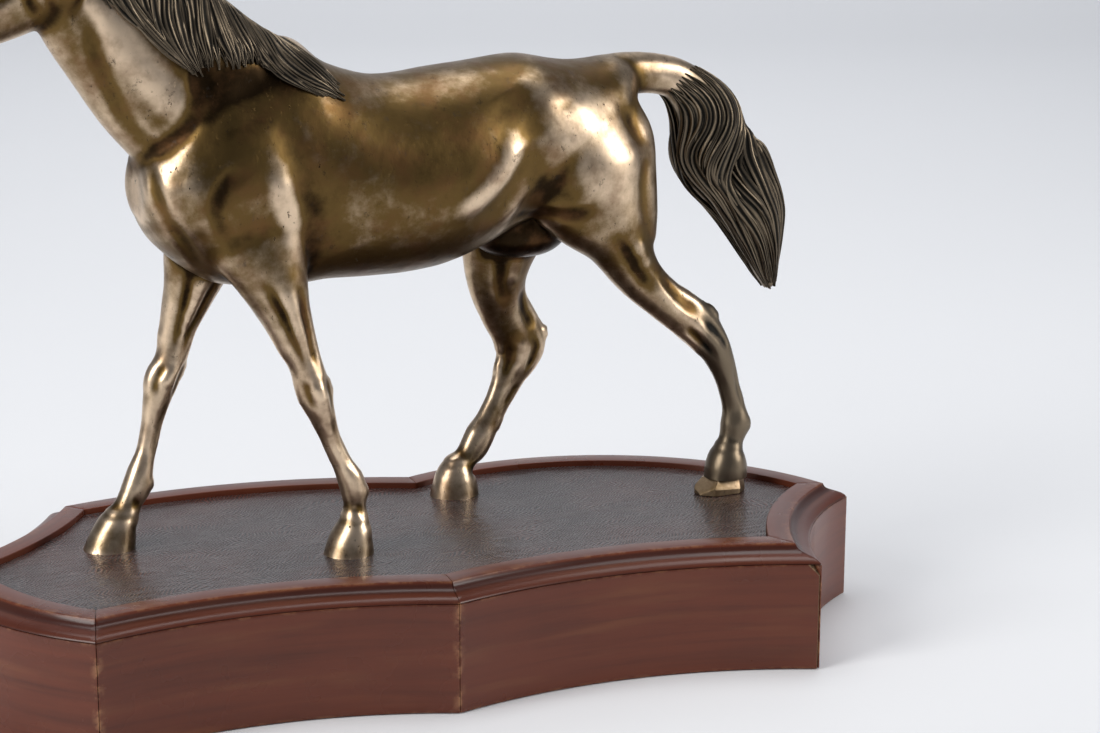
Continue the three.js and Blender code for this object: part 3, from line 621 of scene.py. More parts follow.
def mahogany_material():
    """Stained mahogany under a satin lacquer, worn pale along its edges, with painted shade in the moulding's
    cove and roll and along the board's top under the moulding.
    """
    look = bpy.context.scene.statue_plinth
    r = Recipe("stained_mahogany")
    along = r.attribute("along")
    wrap = r.nodes.new("ShaderNodeCombineXYZ")
    split = r.nodes.new("ShaderNodeSeparateXYZ")
    r.links.new(r.place, split.inputs[0])
    r.links.new(along, wrap.inputs[0])
    r.links.new(split.outputs["Z"], wrap.inputs[2])
    r.links.new(r.attribute("inward"), wrap.inputs[1])
    grain_at = wrap.outputs[0]
    pores = r.noise(r.stretched((14, 500, 500), source=grain_at), 3, 4, 0.7)
    figure = r.noise(r.stretched((2.2, 46, 46), source=grain_at), 3, 5, 0.6, 0.4)
    cloud = r.noise(r.place, 14, 4, 0.6)
    tone = r.maths("ADD", r.maths("MULTIPLY", figure, 0.7), r.maths("MULTIPLY", cloud, 0.3))
    wood = r.blend(r.fit(tone, 0.22, 0.62, 0.25, 1), tuple(look.mahogany_dark), tuple(look.mahogany))
    wood = r.blend(r.fit(pores, 0.56, 0.80, 0, 0.45), wood, tuple(c * 0.4 for c in look.mahogany))
    golden = r.fit(r.noise(r.stretched((6, 60, 60), source=grain_at), 2, 3, 0.5), 0.5, 0.8, 0, 0.35)
    wood = r.blend(golden, wood, (0.21, 0.080, 0.032))
    # Painted shade where the moulding's cove and roll turn from the lamps and where the board meets the
    # moulding.
    wood = r.blend(r.fit(r.attribute("hollow"), 0.0, 1.0, 0, 0.75), wood, (0.024, 0.006, 0.004))
    worn = r.maths("MULTIPLY", r.attribute("wear"), r.fit(r.noise(r.place, 130, 4, 0.7), 0.46, 0.62))
    wood = r.blend(worn, wood, (0.42, 0.21, 0.10))
    dust = r.fit(r.spots(r.place, 900), 0.05, 0.02, 0, 0.4)
    wood = r.blend(dust, wood, (0.45, 0.30, 0.24))
    rough = r.fit(cloud, 0.3, 0.7, 0.24, 0.36)
    normal = r.bump(r.noise(r.stretched((20, 260, 260), source=grain_at), 3, 2, 0.5), 0.12, 0.0002)
    return r.finish(wood, rough, normal, Coat_Weight=0.16, Coat_Roughness=0.16, IOR=1.36)


def raw_wood_material():
    """Bare mahogany where a splinter has broken away, greyed by handling."""
    r = Recipe("raw_mahogany")
    fibre = r.noise(r.stretched((60, 60, 500)), 4, 4, 0.7)
    wood = r.blend(r.fit(fibre, 0.3, 0.7), (0.075, 0.040, 0.020), (0.34, 0.21, 0.11))
    return r.finish(wood, 0.75, r.bump(fibre, 0.6, 0.0005))


# The panel's tool marks stand in rows that slant by turns, in metres.
CHEVRON_ROW = 0.0031
CHEVRON_STEP = 0.0022


def panel_material():
    """The tooled panel: fine hatched ripples that change direction, dark stain, gloss lacquer."""
    look = bpy.context.scene.statue_plinth
    r = Recipe("tooled_panel")
    warp = r.nodes.new("ShaderNodeTexNoise")
    r.links.new(r.place, warp.inputs["Vector"])
    warp.inputs["Scale"].default_value = 34
    warp.inputs["Detail"].default_value = 1.5
    push = r.nodes.new("ShaderNodeVectorMath")
    push.operation = "MULTIPLY_ADD"
    r.links.new(warp.outputs["Color"], push.inputs[0])
    push.inputs[1].default_value = (0.020, 0.020, 0)
    r.links.new(r.place, push.inputs[2])
    split = r.nodes.new("ShaderNodeSeparateXYZ")
    r.links.new(push.outputs[0], split.inputs[0])
    zigzag = r.maths("PINGPONG", split.outputs["Y"], CHEVRON_ROW)
    strokes = r.maths("MULTIPLY", r.maths("ADD", split.outputs["X"], zigzag), 2 * math.pi / CHEVRON_STEP)
    hatch = r.fit(r.maths("SINE", strokes), -1, 1)
    cross = r.noise(r.stretched((1, 1.7, 1)), 520, 3, 0.6)
    marks = r.maths("ADD", r.maths("MULTIPLY", hatch, 0.6), r.maths("MULTIPLY", cross, 0.6))
    deep = r.fit(marks, 0.42, 0.70)
    stain = r.fit(r.noise(r.place, 16, 4, 0.6), 0.38, 0.68)
    dark = r.blend(stain, (0.010, 0.008, 0.009), (0.022, 0.009, 0.008))
    ridge = r.blend(stain, tuple(look.panel_colour), (0.120, 0.038, 0.026))
    colour = r.blend(deep, dark, ridge)
    normal = r.bump(marks, 1.0, 0.0015)
    rough = r.fit(marks, 0.2, 0.9, 0.40, 0.27)
    return r.finish(colour, rough, normal, Coat_Weight=0.45, Coat_Roughness=0.22, IOR=1.48)


def pine_material():
    """Pale softwood with straight growth rings, for the carcass under the panel."""
    r = Recipe("carcass_pine")
    rings = r.waves(r.stretched((0.15, 1, 1)), 60, 3, 3, 1.2)
    fibre = r.noise(r.stretched((12, 300, 300)), 2, 3, 0.6)
    wood = r.blend(r.fit(rings, 0.2, 0.9), (0.56, 0.36, 0.19), (0.38, 0.20, 0.09))
    wood = r.blend(r.fit(fibre, 0.4, 0.8, 0, 0.4), wood, (0.30, 0.17, 0.08))
    return r.finish(wood, 0.72, r.bump(fibre, 0.3, 0.0004))


def steel_material():
    """Zinc-bright steel with fine turning marks."""
    r = Recipe("zinc_steel")
    marks = r.noise(r.stretched((1, 1, 24)), 400, 3, 0.5)
    blotch = r.noise(r.place, 300, 3, 0.6)
    colour = r.blend(r.fit(blotch, 0.3, 0.7), (0.42, 0.42, 0.41), (0.62, 0.62, 0.60))
    return r.finish(colour, r.fit(blotch, 0.3, 0.7, 0.28, 0.45), r.bump(marks, 0.3, 0.0002), Metallic=1.0)


def felt_material():
    """Pressed green felt with a short nap."""
    r = Recipe("green_felt")
    nap = r.noise(r.place, 1800, 4, 0.7)
    tufts = r.noise(r.place, 420, 3, 0.6)
    colour = r.blend(r.fit(tufts, 0.3, 0.7), (0.012, 0.040, 0.018), (0.030, 0.085, 0.036))
    return r.finish(colour, 0.95, r.bump(nap, 0.6, 0.0006), Sheen_Weight=0.4, Sheen_Roughness=0.5)


def paper_material():
    """Matt background paper."""
    look = bpy.context.scene.statue_stage
    r = Recipe("backdrop_paper")
    return r.finish(tuple(look.floor), r.fit(r.noise(r.place, 3, 2), 0.3, 0.7, 0.62, 0.70), None, IOR=1.3)


# ------------------------------------------------------------------ plinth geometry

def arc_of(index):
    """Centre, radius and way (+1 bowed in) of a side's outer face."""
    _, start, bow = SIDES[index]
    end = SIDES[(index + 1) % len(SIDES)][1]
    start, end = Vector(start), Vector(end)
    chord = end - start
    inwards = Vector((-chord.y, chord.x)).normalized()
    half = chord.length / 2
    radius = (half * half + bow * bow) / (2 * abs(bow))
    way = math.copysign(1, bow)
    return (start + end) / 2 + inwards * (bow - way * radius), radius, way


def inset_corner(index, inset):
    """Where side `index` begins once it and the side before it are moved inwards."""
    (c1, r1, w1), (c2, r2, w2) = arc_of(index - 1), arc_of(index)
    r1, r2 = r1 + w1 * inset, r2 + w2 * inset
    between = c2 - c1
    gap = between.length
    along = (gap * gap + r1 * r1 - r2 * r2) / (2 * gap)
    across = math.sqrt(max(r1 * r1 - along * along, 0))
    between.normalize()
    foot = c1 + between * along
    spread = Vector((-between.y, between.x)) * across
    corner = Vector(SIDES[index][1])
    return min((foot + spread, foot - spread), key=lambda p: (p - corner).length)


def turn_between(a, b):
    """The shorter turn from one angle to another."""
    return math.atan2(math.sin(b - a), math.cos(b - a))


def outline(inset, step):
    """The plan at an inset as points about a step apart."""
    points = []
    for index in range(len(SIDES)):
        centre, radius, way = arc_of(index)
        radius += way * inset
        a = inset_corner(index, inset) - centre
        b = inset_corner((index + 1) % len(SIDES), inset) - centre
        start = math.atan2(a.y, a.x)
        turn = turn_between(start, math.atan2(b.y, b.x))
        count = max(2, round(abs(turn) * radius / step))
        for k in range(count):
            angle = start + turn * k / count
            points.append((centre.x + radius * math.cos(angle), centre.y + radius * math.sin(angle)))
    return np.array(points)


def carried_along(index, profile, spacing=3.0):
    """A profile in (inset, height) spun along one side's arc and mitred at both corners."""
    centre, radius, way = arc_of(index)
    first = inset_corner(index, 0) - centre
    last = inset_corner((index + 1) % len(SIDES), 0) - centre
    start = math.atan2(first.y, first.x)
    turn = turn_between(start, math.atan2(last.y, last.x))
    over = math.copysign(26 / radius, turn)
    steps = max(8, round((abs(turn) + 2 * abs(over)) * radius / spacing))
    bm = bmesh.new()
    ring = []
    for inset, height in profile:
        reach = radius + way * inset
        ring.append(bm.verts.new((
            centre.x + reach * math.cos(start - over), centre.y + reach * math.sin(start - over), height)))
    edges = [bm.edges.new((ring[k], ring[(k + 1) % len(ring)])) for k in range(len(ring))]
    bmesh.ops.spin(
        bm, geom=ring + edges, cent=(centre.x, centre.y, 0), axis=(0, 0, 1), dvec=(0, 0, 0),
        angle=turn + 2 * over, steps=steps, use_duplicate=False)
    middle = centre + Vector((math.cos(start + turn / 2), math.sin(start + turn / 2))) * radius
    for corner in (index, (index + 1) % len(SIDES)):
        outer, inner = inset_corner(corner, 0), inset_corner(corner, PANEL_INSET)
        slope = (inner - outer).normalized()
        away = Vector((-slope.y, slope.x, 0))
        if away.to_2d().dot(middle - outer) > 0:
            away = -away
        on_plane = outer.to_3d() - away * HALF_GAP
        bmesh.ops.contextual_create(bm, geom=cut_off(bm, on_plane, away))
    bmesh.ops.recalc_face_normals(bm, faces=bm.faces)
    return bm


def board_profile():
    """Outer face first, with extra lines near the edges so that their wear stays narrow."""
    return [
        (0, BOARD_BOTTOM), (12, BOARD_BOTTOM), (12, BOARD_TOP), (1.6, BOARD_TOP), (0, BOARD_TOP),
        (0, BOARD_TOP - 1.6), (0, 44), (0, 30), (0, 16), (0, BOARD_BOTTOM + 1.6),
    ]


def moulding_profile():
    """A flat rim with a small square edge, a hollow below it, and a shoulder rounding into the board."""
    return [
        (0.4, PANEL_BOTTOM), (22.5, PANEL_BOTTOM), (22.5, RIM_TOP - 0.3), (22.2, RIM_TOP), (17, RIM_TOP),
        (11.6, RIM_TOP), (11.0, RIM_TOP - 0.15), (10.75, RIM_TOP - 0.6), (10.6, 61.9), (10.2, 61.2),
        (9.7, 60.55), (9.0, 59.95), (8.1, 59.4), (7.1, 58.95), (6.0, 58.6), (4.9, 58.3), (3.8, 57.95),
        (2.8, 57.5), (1.9, 56.95), (1.1, 56.3), (0.55, 55.75),
    ]


def side_values(mesh, index, profile_kind):
    """Per-point grain direction, wear and painted shade (hollow) for one side's piece, in millimetres."""
    points = np.empty(len(mesh.vertices) * 3)
    mesh.vertices.foreach_get("co", points)
    points = points.reshape(-1, 3)
    centre, radius, way = arc_of(index)
    offset = points[:, :2] - np.array(centre)
    reach = np.hypot(offset[:, 0], offset[:, 1])
    inset = (reach - radius) * way
    angle = np.arctan2(offset[:, 1], offset[:, 0])
    angle = angle - angle.min()
    angle = np.arctan2(np.sin(angle), np.cos(angle))
    z = points[:, 2]
    ends = np.array([list(inset_corner(index, 0)), list(inset_corner((index + 1) % len(SIDES), 0))])
    edge = np.min(np.linalg.norm(points[:, None, :2] - ends[None], axis=2), axis=1)
    wear = 0.7 * (1 - ramp01(edge, 0.4, 1.5))
    hollow = np.zeros(len(points))
    if profile_kind == "board":
        lip = np.minimum(np.abs(z - BOARD_TOP), np.abs(z - BOARD_BOTTOM)) + np.abs(inset)
        wear = np.maximum(wear, 0.22 * (1 - ramp01(lip, 0.3, 1.4)))
        # Painted shade along the board's top, under the moulding.
        hollow = 0.45 * (1 - ramp01(BOARD_TOP - z, 0.0, 2.0))
    else:
        # Painted shade in the cove and along the foot by the seam, and lighter painted shade over the whole
        # cove and roll.
        cove = ramp01(inset, 5.5, 8.0) * (1 - ramp01(z, 61.2, 62.6)) * (1 - ramp01(inset, 10.8, 11.2))
        hollow = np.maximum(cove, 0.8 * (1 - ramp01(z, 55.4, 56.3)) * (1 - ramp01(inset, 3, 4)))
        hollow = np.maximum(hollow, 0.4 * (1 - ramp01(inset, 9, 11)))
        lip = np.hypot(inset - 11, z - RIM_TOP)
        wear = np.maximum(wear, 0.30 * (1 - ramp01(lip, 0.3, 1.0)))
    point_attribute(mesh, "along", angle * radius * MM + index * 0.37)
    point_attribute(mesh, "inward", inset * MM)
    point_attribute(mesh, "wear", wear)
    point_attribute(mesh, "hollow", hollow)


# The slanting breaks at the top of the chipped corner: (way, depth).
CHIPPED_BOARD = "front_right"
CHIPPED_CORNER = Vector((180, -108, BOARD_TOP))
CHIPS = [((0.42, -0.6, 0.6), 4.4), ((0.15, -1, 0.35), 2.2), ((1, -1, 0), 1.3)]


def chip_corner(bm):
    """Knocks a splinter off a corner with a few slanting cuts and marks the raw faces."""
    for way, depth in CHIPS:
        way = Vector(way).normalized()
        rim = cut_off(bm, CHIPPED_CORNER - way * depth, way)
        for face in bmesh.ops.contextual_create(bm, geom=rim)["faces"]:
            face.material_index = 1


def plinth_side(index, kind, materials):
    """One side's board or moulding, with its edges rounded."""
    name = SIDES[index][0]
    bm = carried_along(index, board_profile() if kind == "board" else moulding_profile())
    if name == CHIPPED_BOARD and kind == "board":
        chip_corner(bm)
    look = bpy.context.scene.statue_plinth
    limit = math.radians(40)
    sharp = [edge for edge in bm.edges if len(edge.link_faces) == 2 and edge.calc_face_angle(0) > limit]
    bmesh.ops.bevel(
        bm, geom=sharp, offset=look.worn_edge / MM, offset_type="OFFSET", segments=2, profile=0.5,
        affect="EDGES", material=-1, clamp_overlap=True)
    bmesh.ops.recalc_face_normals(bm, faces=bm.faces)
    long_faces = [face for face in bm.faces if len(face.verts) > 12]
    bmesh.ops.triangulate(bm, faces=long_faces)
    full = f"{'side_board' if kind == 'board' else 'rim_moulding'}_{name}"
    mesh = mesh_from(bm, full, Matrix.Identity(4))
    side_values(mesh, index, kind)
    mesh.transform(PLINTH_FRAME)
    shade_by_angle(add_piece(f"finished_{full}", mesh, materials, [full]), 30)


def panel_mesh():
    """A grid cut to the panel's outline, rippled by the gouge, with a solid edge below."""
    look = bpy.context.scene.statue_plinth
    edge = outline(PANEL_INSET, 1.2)
    low, high = edge.min(0), edge.max(0)
    size = high - low
    cells = np.ceil(size / PANEL_GRID).astype(int)
    bm = bmesh.new()
    matrix = Matrix.Translation((*(low + high) / 2, PANEL_TOP))
    matrix = matrix @ Matrix.Diagonal((size[0] / 2, size[1] / 2, 1, 1))
    bmesh.ops.create_grid(bm, x_segments=int(cells[0]), y_segments=int(cells[1]), size=1, matrix=matrix)
    points = np.array([v.co[:2] for v in bm.verts])
    inside = inside_outline(points, edge)
    bmesh.ops.delete(bm, geom=[v for v, keep in zip(bm.verts[:], inside) if not keep], context="VERTS")
    loose = [v for v in bm.verts if not v.link_faces]
    bmesh.ops.delete(bm, geom=loose, context="VERTS")
    rim = [v for v in bm.verts if v.is_boundary]
    for vert in rim:
        gap = edge - np.array(vert.co[:2])
        vert.co.xy = edge[np.argmin((gap ** 2).sum(1))]
    bmesh.ops.remove_doubles(bm, verts=bm.verts, dist=0.05)
    surface = np.array([v.co for v in bm.verts])
    swirl = ripple_noise(surface, 90, 3, 2) * 2.2
    hatch = np.sin((surface[:, 0] * np.cos(swirl) + surface[:, 1] * np.sin(swirl)) * 2 * np.pi / 5.2)
    lift = look.ripple / MM * (0.5 * hatch + 0.6 * ripple_noise(surface, 9, 5, 2))
    for vert, rise in zip(bm.verts, lift):
        if not vert.is_boundary:
            vert.co.z += rise
    boundary = [e for e in bm.edges if e.is_boundary]
    skirt = bmesh.ops.extrude_edge_only(bm, edges=boundary)["geom"]
    foot = [item for item in skirt if isinstance(item, bmesh.types.BMVert)]
    for vert in foot:
        vert.co.z = PANEL_BOTTOM
    bmesh.ops.contextual_create(bm, geom=[e for e in bm.edges if e.is_boundary])
    bmesh.ops.recalc_face_normals(bm, faces=bm.faces)
    return mesh_from(bm, "textured_panel", PLINTH_FRAME)


def inside_outline(points, edge):
    """True for each point inside a closed outline, by counting crossings."""
    x, y = points[:, 0], points[:, 1]
    hit = np.zeros(len(points), bool)
    for (x0, y0), (x1, y1) in zip(edge, np.roll(edge, -1, axis=0)):
        crosses = (y0 > y) != (y1 > y)
        if y1 != y0:
            hit ^= crosses & (x < (x1 - x0) * (y - y0) / (y1 - y0) + x0)
    return hit


# ------------------------------------------------------------------ horse geometry

def smooth_curve(rows, count):
    """Points along a centripetal curve through the rows, evenly spread over its spans."""
    rows = np.asarray(rows, float)
    spans = len(rows) - 1
    ends = np.vstack([2 * rows[0] - rows[1], rows, 2 * rows[-1] - rows[-2]])
    result = []
    for t in np.linspace(0, spans, count):
        k = min(int(t), spans - 1)
        u = t - k
        p0, p1, p2, p3 = ends[k:k + 4]
        d0, d1, d2 = (max(np.linalg.norm(b - a), 1e-6) ** 0.5 for a, b in ((p0, p1), (p1, p2), (p2, p3)))
        if d1 < 1e-2:
            d1 = 1.0
        m1 = ((p1 - p0) / d0 - (p2 - p0) / (d0 + d1) + (p2 - p1) / d1) * d1
        m2 = ((p2 - p1) / d1 - (p3 - p1) / (d1 + d2) + (p3 - p2) / d2) * d1
        a = 2 * p1 - 2 * p2 + m1 + m2
        b = -3 * p1 + 3 * p2 - 2 * m1 - m2
        result.append(((a * u + b) * u + m1) * u + p1)
    return np.array(result)


def loft(bm, stations, around, along, upright=False, mirror=1):
    """Bridged rings through the stations, closed at both ends."""
    rows = np.array(stations, float)
    spine = smooth_curve(rows[:, :3] * (1, mirror, 1), along + 1)
    sizes = smooth_curve(rows[:, 3:], along + 1)
    heading = np.gradient(spine, axis=0)
    heading[:, 1] = 0
    across = Vector((0, 1, 0))
    rings = []
    for centre, (depth, width), ahead in zip(spine, sizes, heading):
        forwards = Vector((1, 0, 0)) if upright else Vector(ahead).normalized()
        depthwise = across.cross(forwards)
        matrix = Matrix((depthwise * depth, across * width, forwards)).transposed().to_4x4()
        matrix.translation = centre
        made = bmesh.ops.create_circle(bm, cap_ends=False, radius=1, segments=around, matrix=matrix)["verts"]
        rings.append(list({edge for vert in made for edge in vert.link_edges}))
    for before, after in zip(rings, rings[1:]):
        bmesh.ops.bridge_loops(bm, edges=before + after)
    for ring in (rings[0], rings[-1]):
        bmesh.ops.contextual_create(bm, geom=ring)


def ball(bm, centre, radii):
    matrix = Matrix.Translation(centre) @ Matrix.Diagonal((*radii, 1))
    bmesh.ops.create_uvsphere(bm, u_segments=24, v_segments=14, radius=1, matrix=matrix)


def horse_armature_mass():
    """The rough masses of the whole horse, overlapping, in millimetres."""
    bm = bmesh.new()
    loft(bm, TRUNK, 48, 54, upright=True)
    loft(bm, SHEATH, 24, 16, upright=True)
    for stations in BUTTOCKS:
        loft(bm, stations, 32, 30)
    loft(bm, NECK, 40, 24)
    loft(bm, HEAD, 36, 36)
    loft(bm, EAR, 18, 14)
    loft(bm, EAR, 18, 14, mirror=-1)
    loft(bm, TAIL, 32, 60)
    loft(bm, TAIL_SKIRT, 28, 40)
    for stations in LEGS.values():
        loft(bm, stations, 32, 96)
    ball(bm, (-236, 0, 257), (11, 8.5, 8))
    for side in (-1, 1):
        ball(bm, (-194, 13.2 * side, 304.5), (4.2, 3.4, 3.6))
    bmesh.ops.recalc_face_normals(bm, faces=bm.faces)
    return bm


def remeshed(bm, voxel):
    """One even skin over overlapping masses."""
    mesh = bpy.data.meshes.new("clay")
    bm.to_mesh(mesh)
    bm.free()
    lump = bpy.data.objects.new("clay", mesh)
    bpy.context.collection.objects.link(lump)
    skin = lump.modifiers.new("Remesh", "REMESH")
    skin.mode = "VOXEL"
    skin.voxel_size = voxel
    skin.adaptivity = 0
    done = bpy.data.meshes.new_from_object(lump.evaluated_get(bpy.context.evaluated_depsgraph_get()))
    bpy.data.objects.remove(lump)
    bpy.data.meshes.remove(mesh)
    return done


class Clay:
    """A mesh that can be smoothed and pushed along its normals."""

    def __init__(self, mesh):
        self.mesh = mesh
        count = len(mesh.vertices)
        self.points = np.empty(count * 3)
        mesh.vertices.foreach_get("co", self.points)
        self.points = self.points.reshape(-1, 3)
        edges = np.empty(len(mesh.edges) * 2, np.int64)
        mesh.edges.foreach_get("vertices", edges)
        self.a, self.b = edges.reshape(-1, 2).T
        self.degree = np.bincount(np.r_[self.a, self.b], minlength=count)[:, None]
        self.tree = None

    def mean(self, values):
        """Each point's neighbours' average."""
        count = len(values)
        total = np.column_stack([
            np.bincount(self.a, column[self.b], count) + np.bincount(self.b, column[self.a], count)
            for column in values.T])
        return total / np.maximum(self.degree, 1)

    def smoothed(self, values, rounds):
        for _ in range(rounds):
            values = values + (self.mean(values) - values) * 0.6
        return values

    def relax(self, rounds, where=None):
        """Smooths, and swells back by the same amount so that thin limbs keep their girth."""
        for _ in range(rounds):
            for amount in (0.6, -0.61):
                step = (self.mean(self.points) - self.points) * amount
                self.points = self.points + (step if where is None else step * where[:, None])

    def store(self):
        self.mesh.vertices.foreach_set("co", self.points.ravel())
        self.mesh.update()

    def normals(self):
        self.store()
        flat = np.empty(len(self.points) * 3)
        self.mesh.vertex_normals.foreach_get("vector", flat)
        return flat.reshape(-1, 3)

    def skin(self):
        """A tree for dropping stroke points on the skin."""
        if self.tree is None:
            self.store()
            faces = [tuple(p.vertices) for p in self.mesh.polygons]
            self.tree = BVHTree.FromPolygons([tuple(p) for p in self.points], faces)
        return self.tree

    def drop(self, x, z, side):
        """The skin point seen from one side, and the way the skin faces there."""
        spot, normal, _, _ = self.skin().ray_cast(Vector((x, 220 * side, z)), Vector((0, -side, 0)))
        if spot is None or spot.y * side < -2:
            spot, normal, _, _ = self.skin().find_nearest(Vector((x, 2.0 * side, z)))
        return np.array(spot), np.array(normal)

    def stroke(self, path, radius, height, lift):
        """Adds a rounded ridge or groove along a path to the running lift."""
        path = np.asarray(path, float)
        low, high = path.min(0) - radius, path.max(0) + radius
        near = np.flatnonzero(np.all((self.points > low) & (self.points < high), axis=1))
        if not len(near):
            return
        spots = self.points[near]
        best = np.full(len(near), 1e9)
        along = np.zeros(len(near))
        length = np.r_[0, np.cumsum(np.linalg.norm(np.diff(path, axis=0), axis=1))]
        for k in range(len(path) - 1):
            leg = path[k + 1] - path[k]
            t = np.clip((spots - path[k]) @ leg / max(leg @ leg, 1e-9), 0, 1)
            gap = np.linalg.norm(spots - path[k] - t[:, None] * leg, axis=1)
            closer = gap < best
            best[closer] = gap[closer]
            along[closer] = length[k] + t[closer] * np.sqrt(leg @ leg)
        fall = np.clip(1 - (best / radius) ** 2, 0, 1) ** 2
        share = along / max(length[-1], 1e-6)
        fall *= ramp01(np.minimum(share, 1 - share), -0.12, 0.28)
        lift[near] += fall * height

    def side_strokes(self, group, spread, depth, lift):
        """Strokes seen from the side, on one side or on both."""
        for side, radius, height, path in group:
            for way in ((-1, 1) if side == 0 else (side,)):
                spots = [self.drop(x, z, way)[0] for x, z in smooth_curve(path, 3 * len(path))]
                self.stroke(spots, radius * spread, height * depth, lift)


def leg_spot(stations, z, bearing):
    """A point on a leg's skin at a height, at a bearing round the leg from its front (outer side is 90)."""
    rows = np.array(stations, float)[::-1]
    x, y, depth, width = (np.interp(z, rows[:, 2], rows[:, k]) for k in (0, 1, 3, 4))
    side = math.copysign(1, y)
    turn = math.radians(bearing)
    return (x - depth * math.cos(turn), y + side * width * math.sin(turn), z)


def model_flesh(clay):
    """Muscles, tendons, joints and face, pushed into the smoothed masses."""
    lift = np.zeros(len(clay.points))
    clay.side_strokes(FLESH, FLESH_SPREAD, FLESH_DEPTH, lift)
    clay.side_strokes(FACE, 1.0, 1.0, lift)
    for name, stations in LEGS.items():
        lowered = LOW_HOCK if name == "off_hindleg" else 0
        for radius, height, path in (FORELEG if "fore" in name else HINDLEG):
            for mirror in ((1,) if all(b in (0, 180) for _, b in path) else (1, -1)):
                dense = smooth_curve(path, 5 * len(path))
                dense[:, 0] -= lowered * ramp01(dense[:, 0], 45, 75)
                spots = [leg_spot(stations, z, mirror * bearing) for z, bearing in dense]
                snapped = [np.array(clay.skin().find_nearest(Vector(s))[0]) for s in spots]
                clay.stroke(snapped, radius * LIMB_SPREAD, height * LIMB_DEPTH, lift)
        model_foot(clay, name, stations, lift)
    seam = [clay.skin().ray_cast(Vector((x, 0.3, 60)), Vector((0, 0, 1)))[0] for x in range(-56, 34, 6)]
    clay.stroke([np.array(s) for s in seam if s is not None], 1.7, 0.5, lift)
    normals = clay.normals()
    lift = clay.smoothed(lift[:, None], 1)[:, 0]
    clay.points = clay.points + normals * lift[:, None]


def model_foot(clay, name, stations, lift):
    """The groove above the hoof, and faint rings on its wall."""
    rows = np.array(stations, float)[::-1]
    crown = BLOCK_TOP + 14 if name == "near_hindleg" else 15
    x, y = (np.interp(crown, rows[:, 2], rows[:, k]) for k in (0, 1))
    points = clay.points
    near = np.hypot(points[:, 0] - x, points[:, 1] - y) < 24
    near &= points[:, 2] < 30
    slope = points[:, 2] - crown + 0.16 * (points[:, 0] - x)
    lift[near] -= 0.42 * np.exp(-((slope[near] - 1.0) / 1.3) ** 2)
    wall = near & (slope < -3)
    lift[wall] += 0.03 * np.sin(points[wall, 2] * 2 * np.pi / 2.6)


def skin_values(clay):
    """How proud or sunken each point is, at a fine and a broad scale."""
    normals = clay.normals()
    fine = clay.smoothed(clay.points, 8)
    broad = clay.smoothed(fine, 60)
    fine_rise = np.sum((clay.points - fine) * normals, axis=1)
    broad_rise = np.sum((fine - broad) * normals, axis=1)
    mixed = clay.smoothed((fine_rise * 3.0 + broad_rise * 0.55)[:, None], 2)[:, 0]
    return np.clip(mixed, -1.4, 1.4)


def sculpted_horse(voxel):
    """The whole horse in one skin, in millimetres, with its patina values, painted highlights and painted
    shade.
    """
    mesh = remeshed(horse_armature_mass(), voxel)
    clay = Clay(mesh)
    clay.relax(4)
    height = clay.points[:, 2]
    body = ramp01(height, 118, 150)
    clay.relax(18, body)
    for _ in range(14):
        clay.points = clay.points + (clay.mean(clay.points) - clay.points) * (0.5 * body)[:, None]
    model_flesh(clay)
    clay.relax(2)
    clay.points = clay.points + clay.normals() * (0.10 * ripple_noise(clay.points, 16, 11, 3))[:, None]
    rise = skin_values(clay)
    clay.store()
    point_attribute(mesh, "cavity", rise)
    points = clay.points
    tail_hair = ramp01(points[:, 0] - 0.35 * (points[:, 2] - 222), 150, 166) * ramp01(points[:, 0], 146, 152)
    crest = neck_height(points)
    bed = ramp01(crest, 22, 34) * ramp01(points[:, 2], 236, 250) * (points[:, 1] < 3)
    mane = bed * (1 - ramp01(points[:, 0], -84, -72)) * ramp01(points[:, 0], -164, -150)
    point_attribute(mesh, "hair", np.clip(np.maximum(tail_hair, 0.75 * mane), 0, 1))
    # Rubbed patina with painted highlights, and painted shade below nought, laid on from the side.
    rub_and_painted_light = np.zeros(len(points))
    clay.side_strokes(RUBS_AND_PAINTED_LIGHT, RUB_AND_PAINTED_LIGHT_SPREAD, 1.0, rub_and_painted_light)
    # Darker towards the bottom of the legs.
    rub_and_painted_light -= 0.22 * (1 - ramp01(points[:, 2], 110, 150))
    # Painted shade under the belly round the sheath, between the legs.
    groin_shade = ramp01(points[:, 0], 32, 42) * (1 - ramp01(points[:, 0], 90, 100))
    groin_shade *= 1 - ramp01(points[:, 2], 158, 168)
    groin_shade *= (1 - ramp01(np.abs(points[:, 1]), 15, 20)) * ramp01(points[:, 2], 126, 132)
    rub_and_painted_light -= 1.6 * groin_shade
    point_attribute(mesh, "rub_and_painted_light", rub_and_painted_light)
    return mesh


def neck_height(points):
    """Distance of each point above the neck's middle line, towards the crest."""
    rows = np.array(NECK, float)
    middle = np.interp(points[:, 0], rows[::-1, 0], rows[::-1, 2])
    return (points[:, 2] - middle) * 0.63


def side_of(bm, point, normal):
    """Cuts off everything beyond a plane and closes the cut."""
    rim = cut_off(bm, point, normal)
    if rim:
        bmesh.ops.holes_fill(bm, edges=rim, sides=0)


NECK_WAY = Vector((math.cos(NECK_JOINT[2]), 0, math.sin(NECK_JOINT[2])))
NECK_SPOT = Vector((NECK_JOINT[0], 0, NECK_JOINT[1]))
DOWN, UP = Vector((0, 0, -1)), Vector((0, 0, 1))
TAILWARDS = Vector((1, 0, 0))
SEAM = 0.01
CRUMB = 200


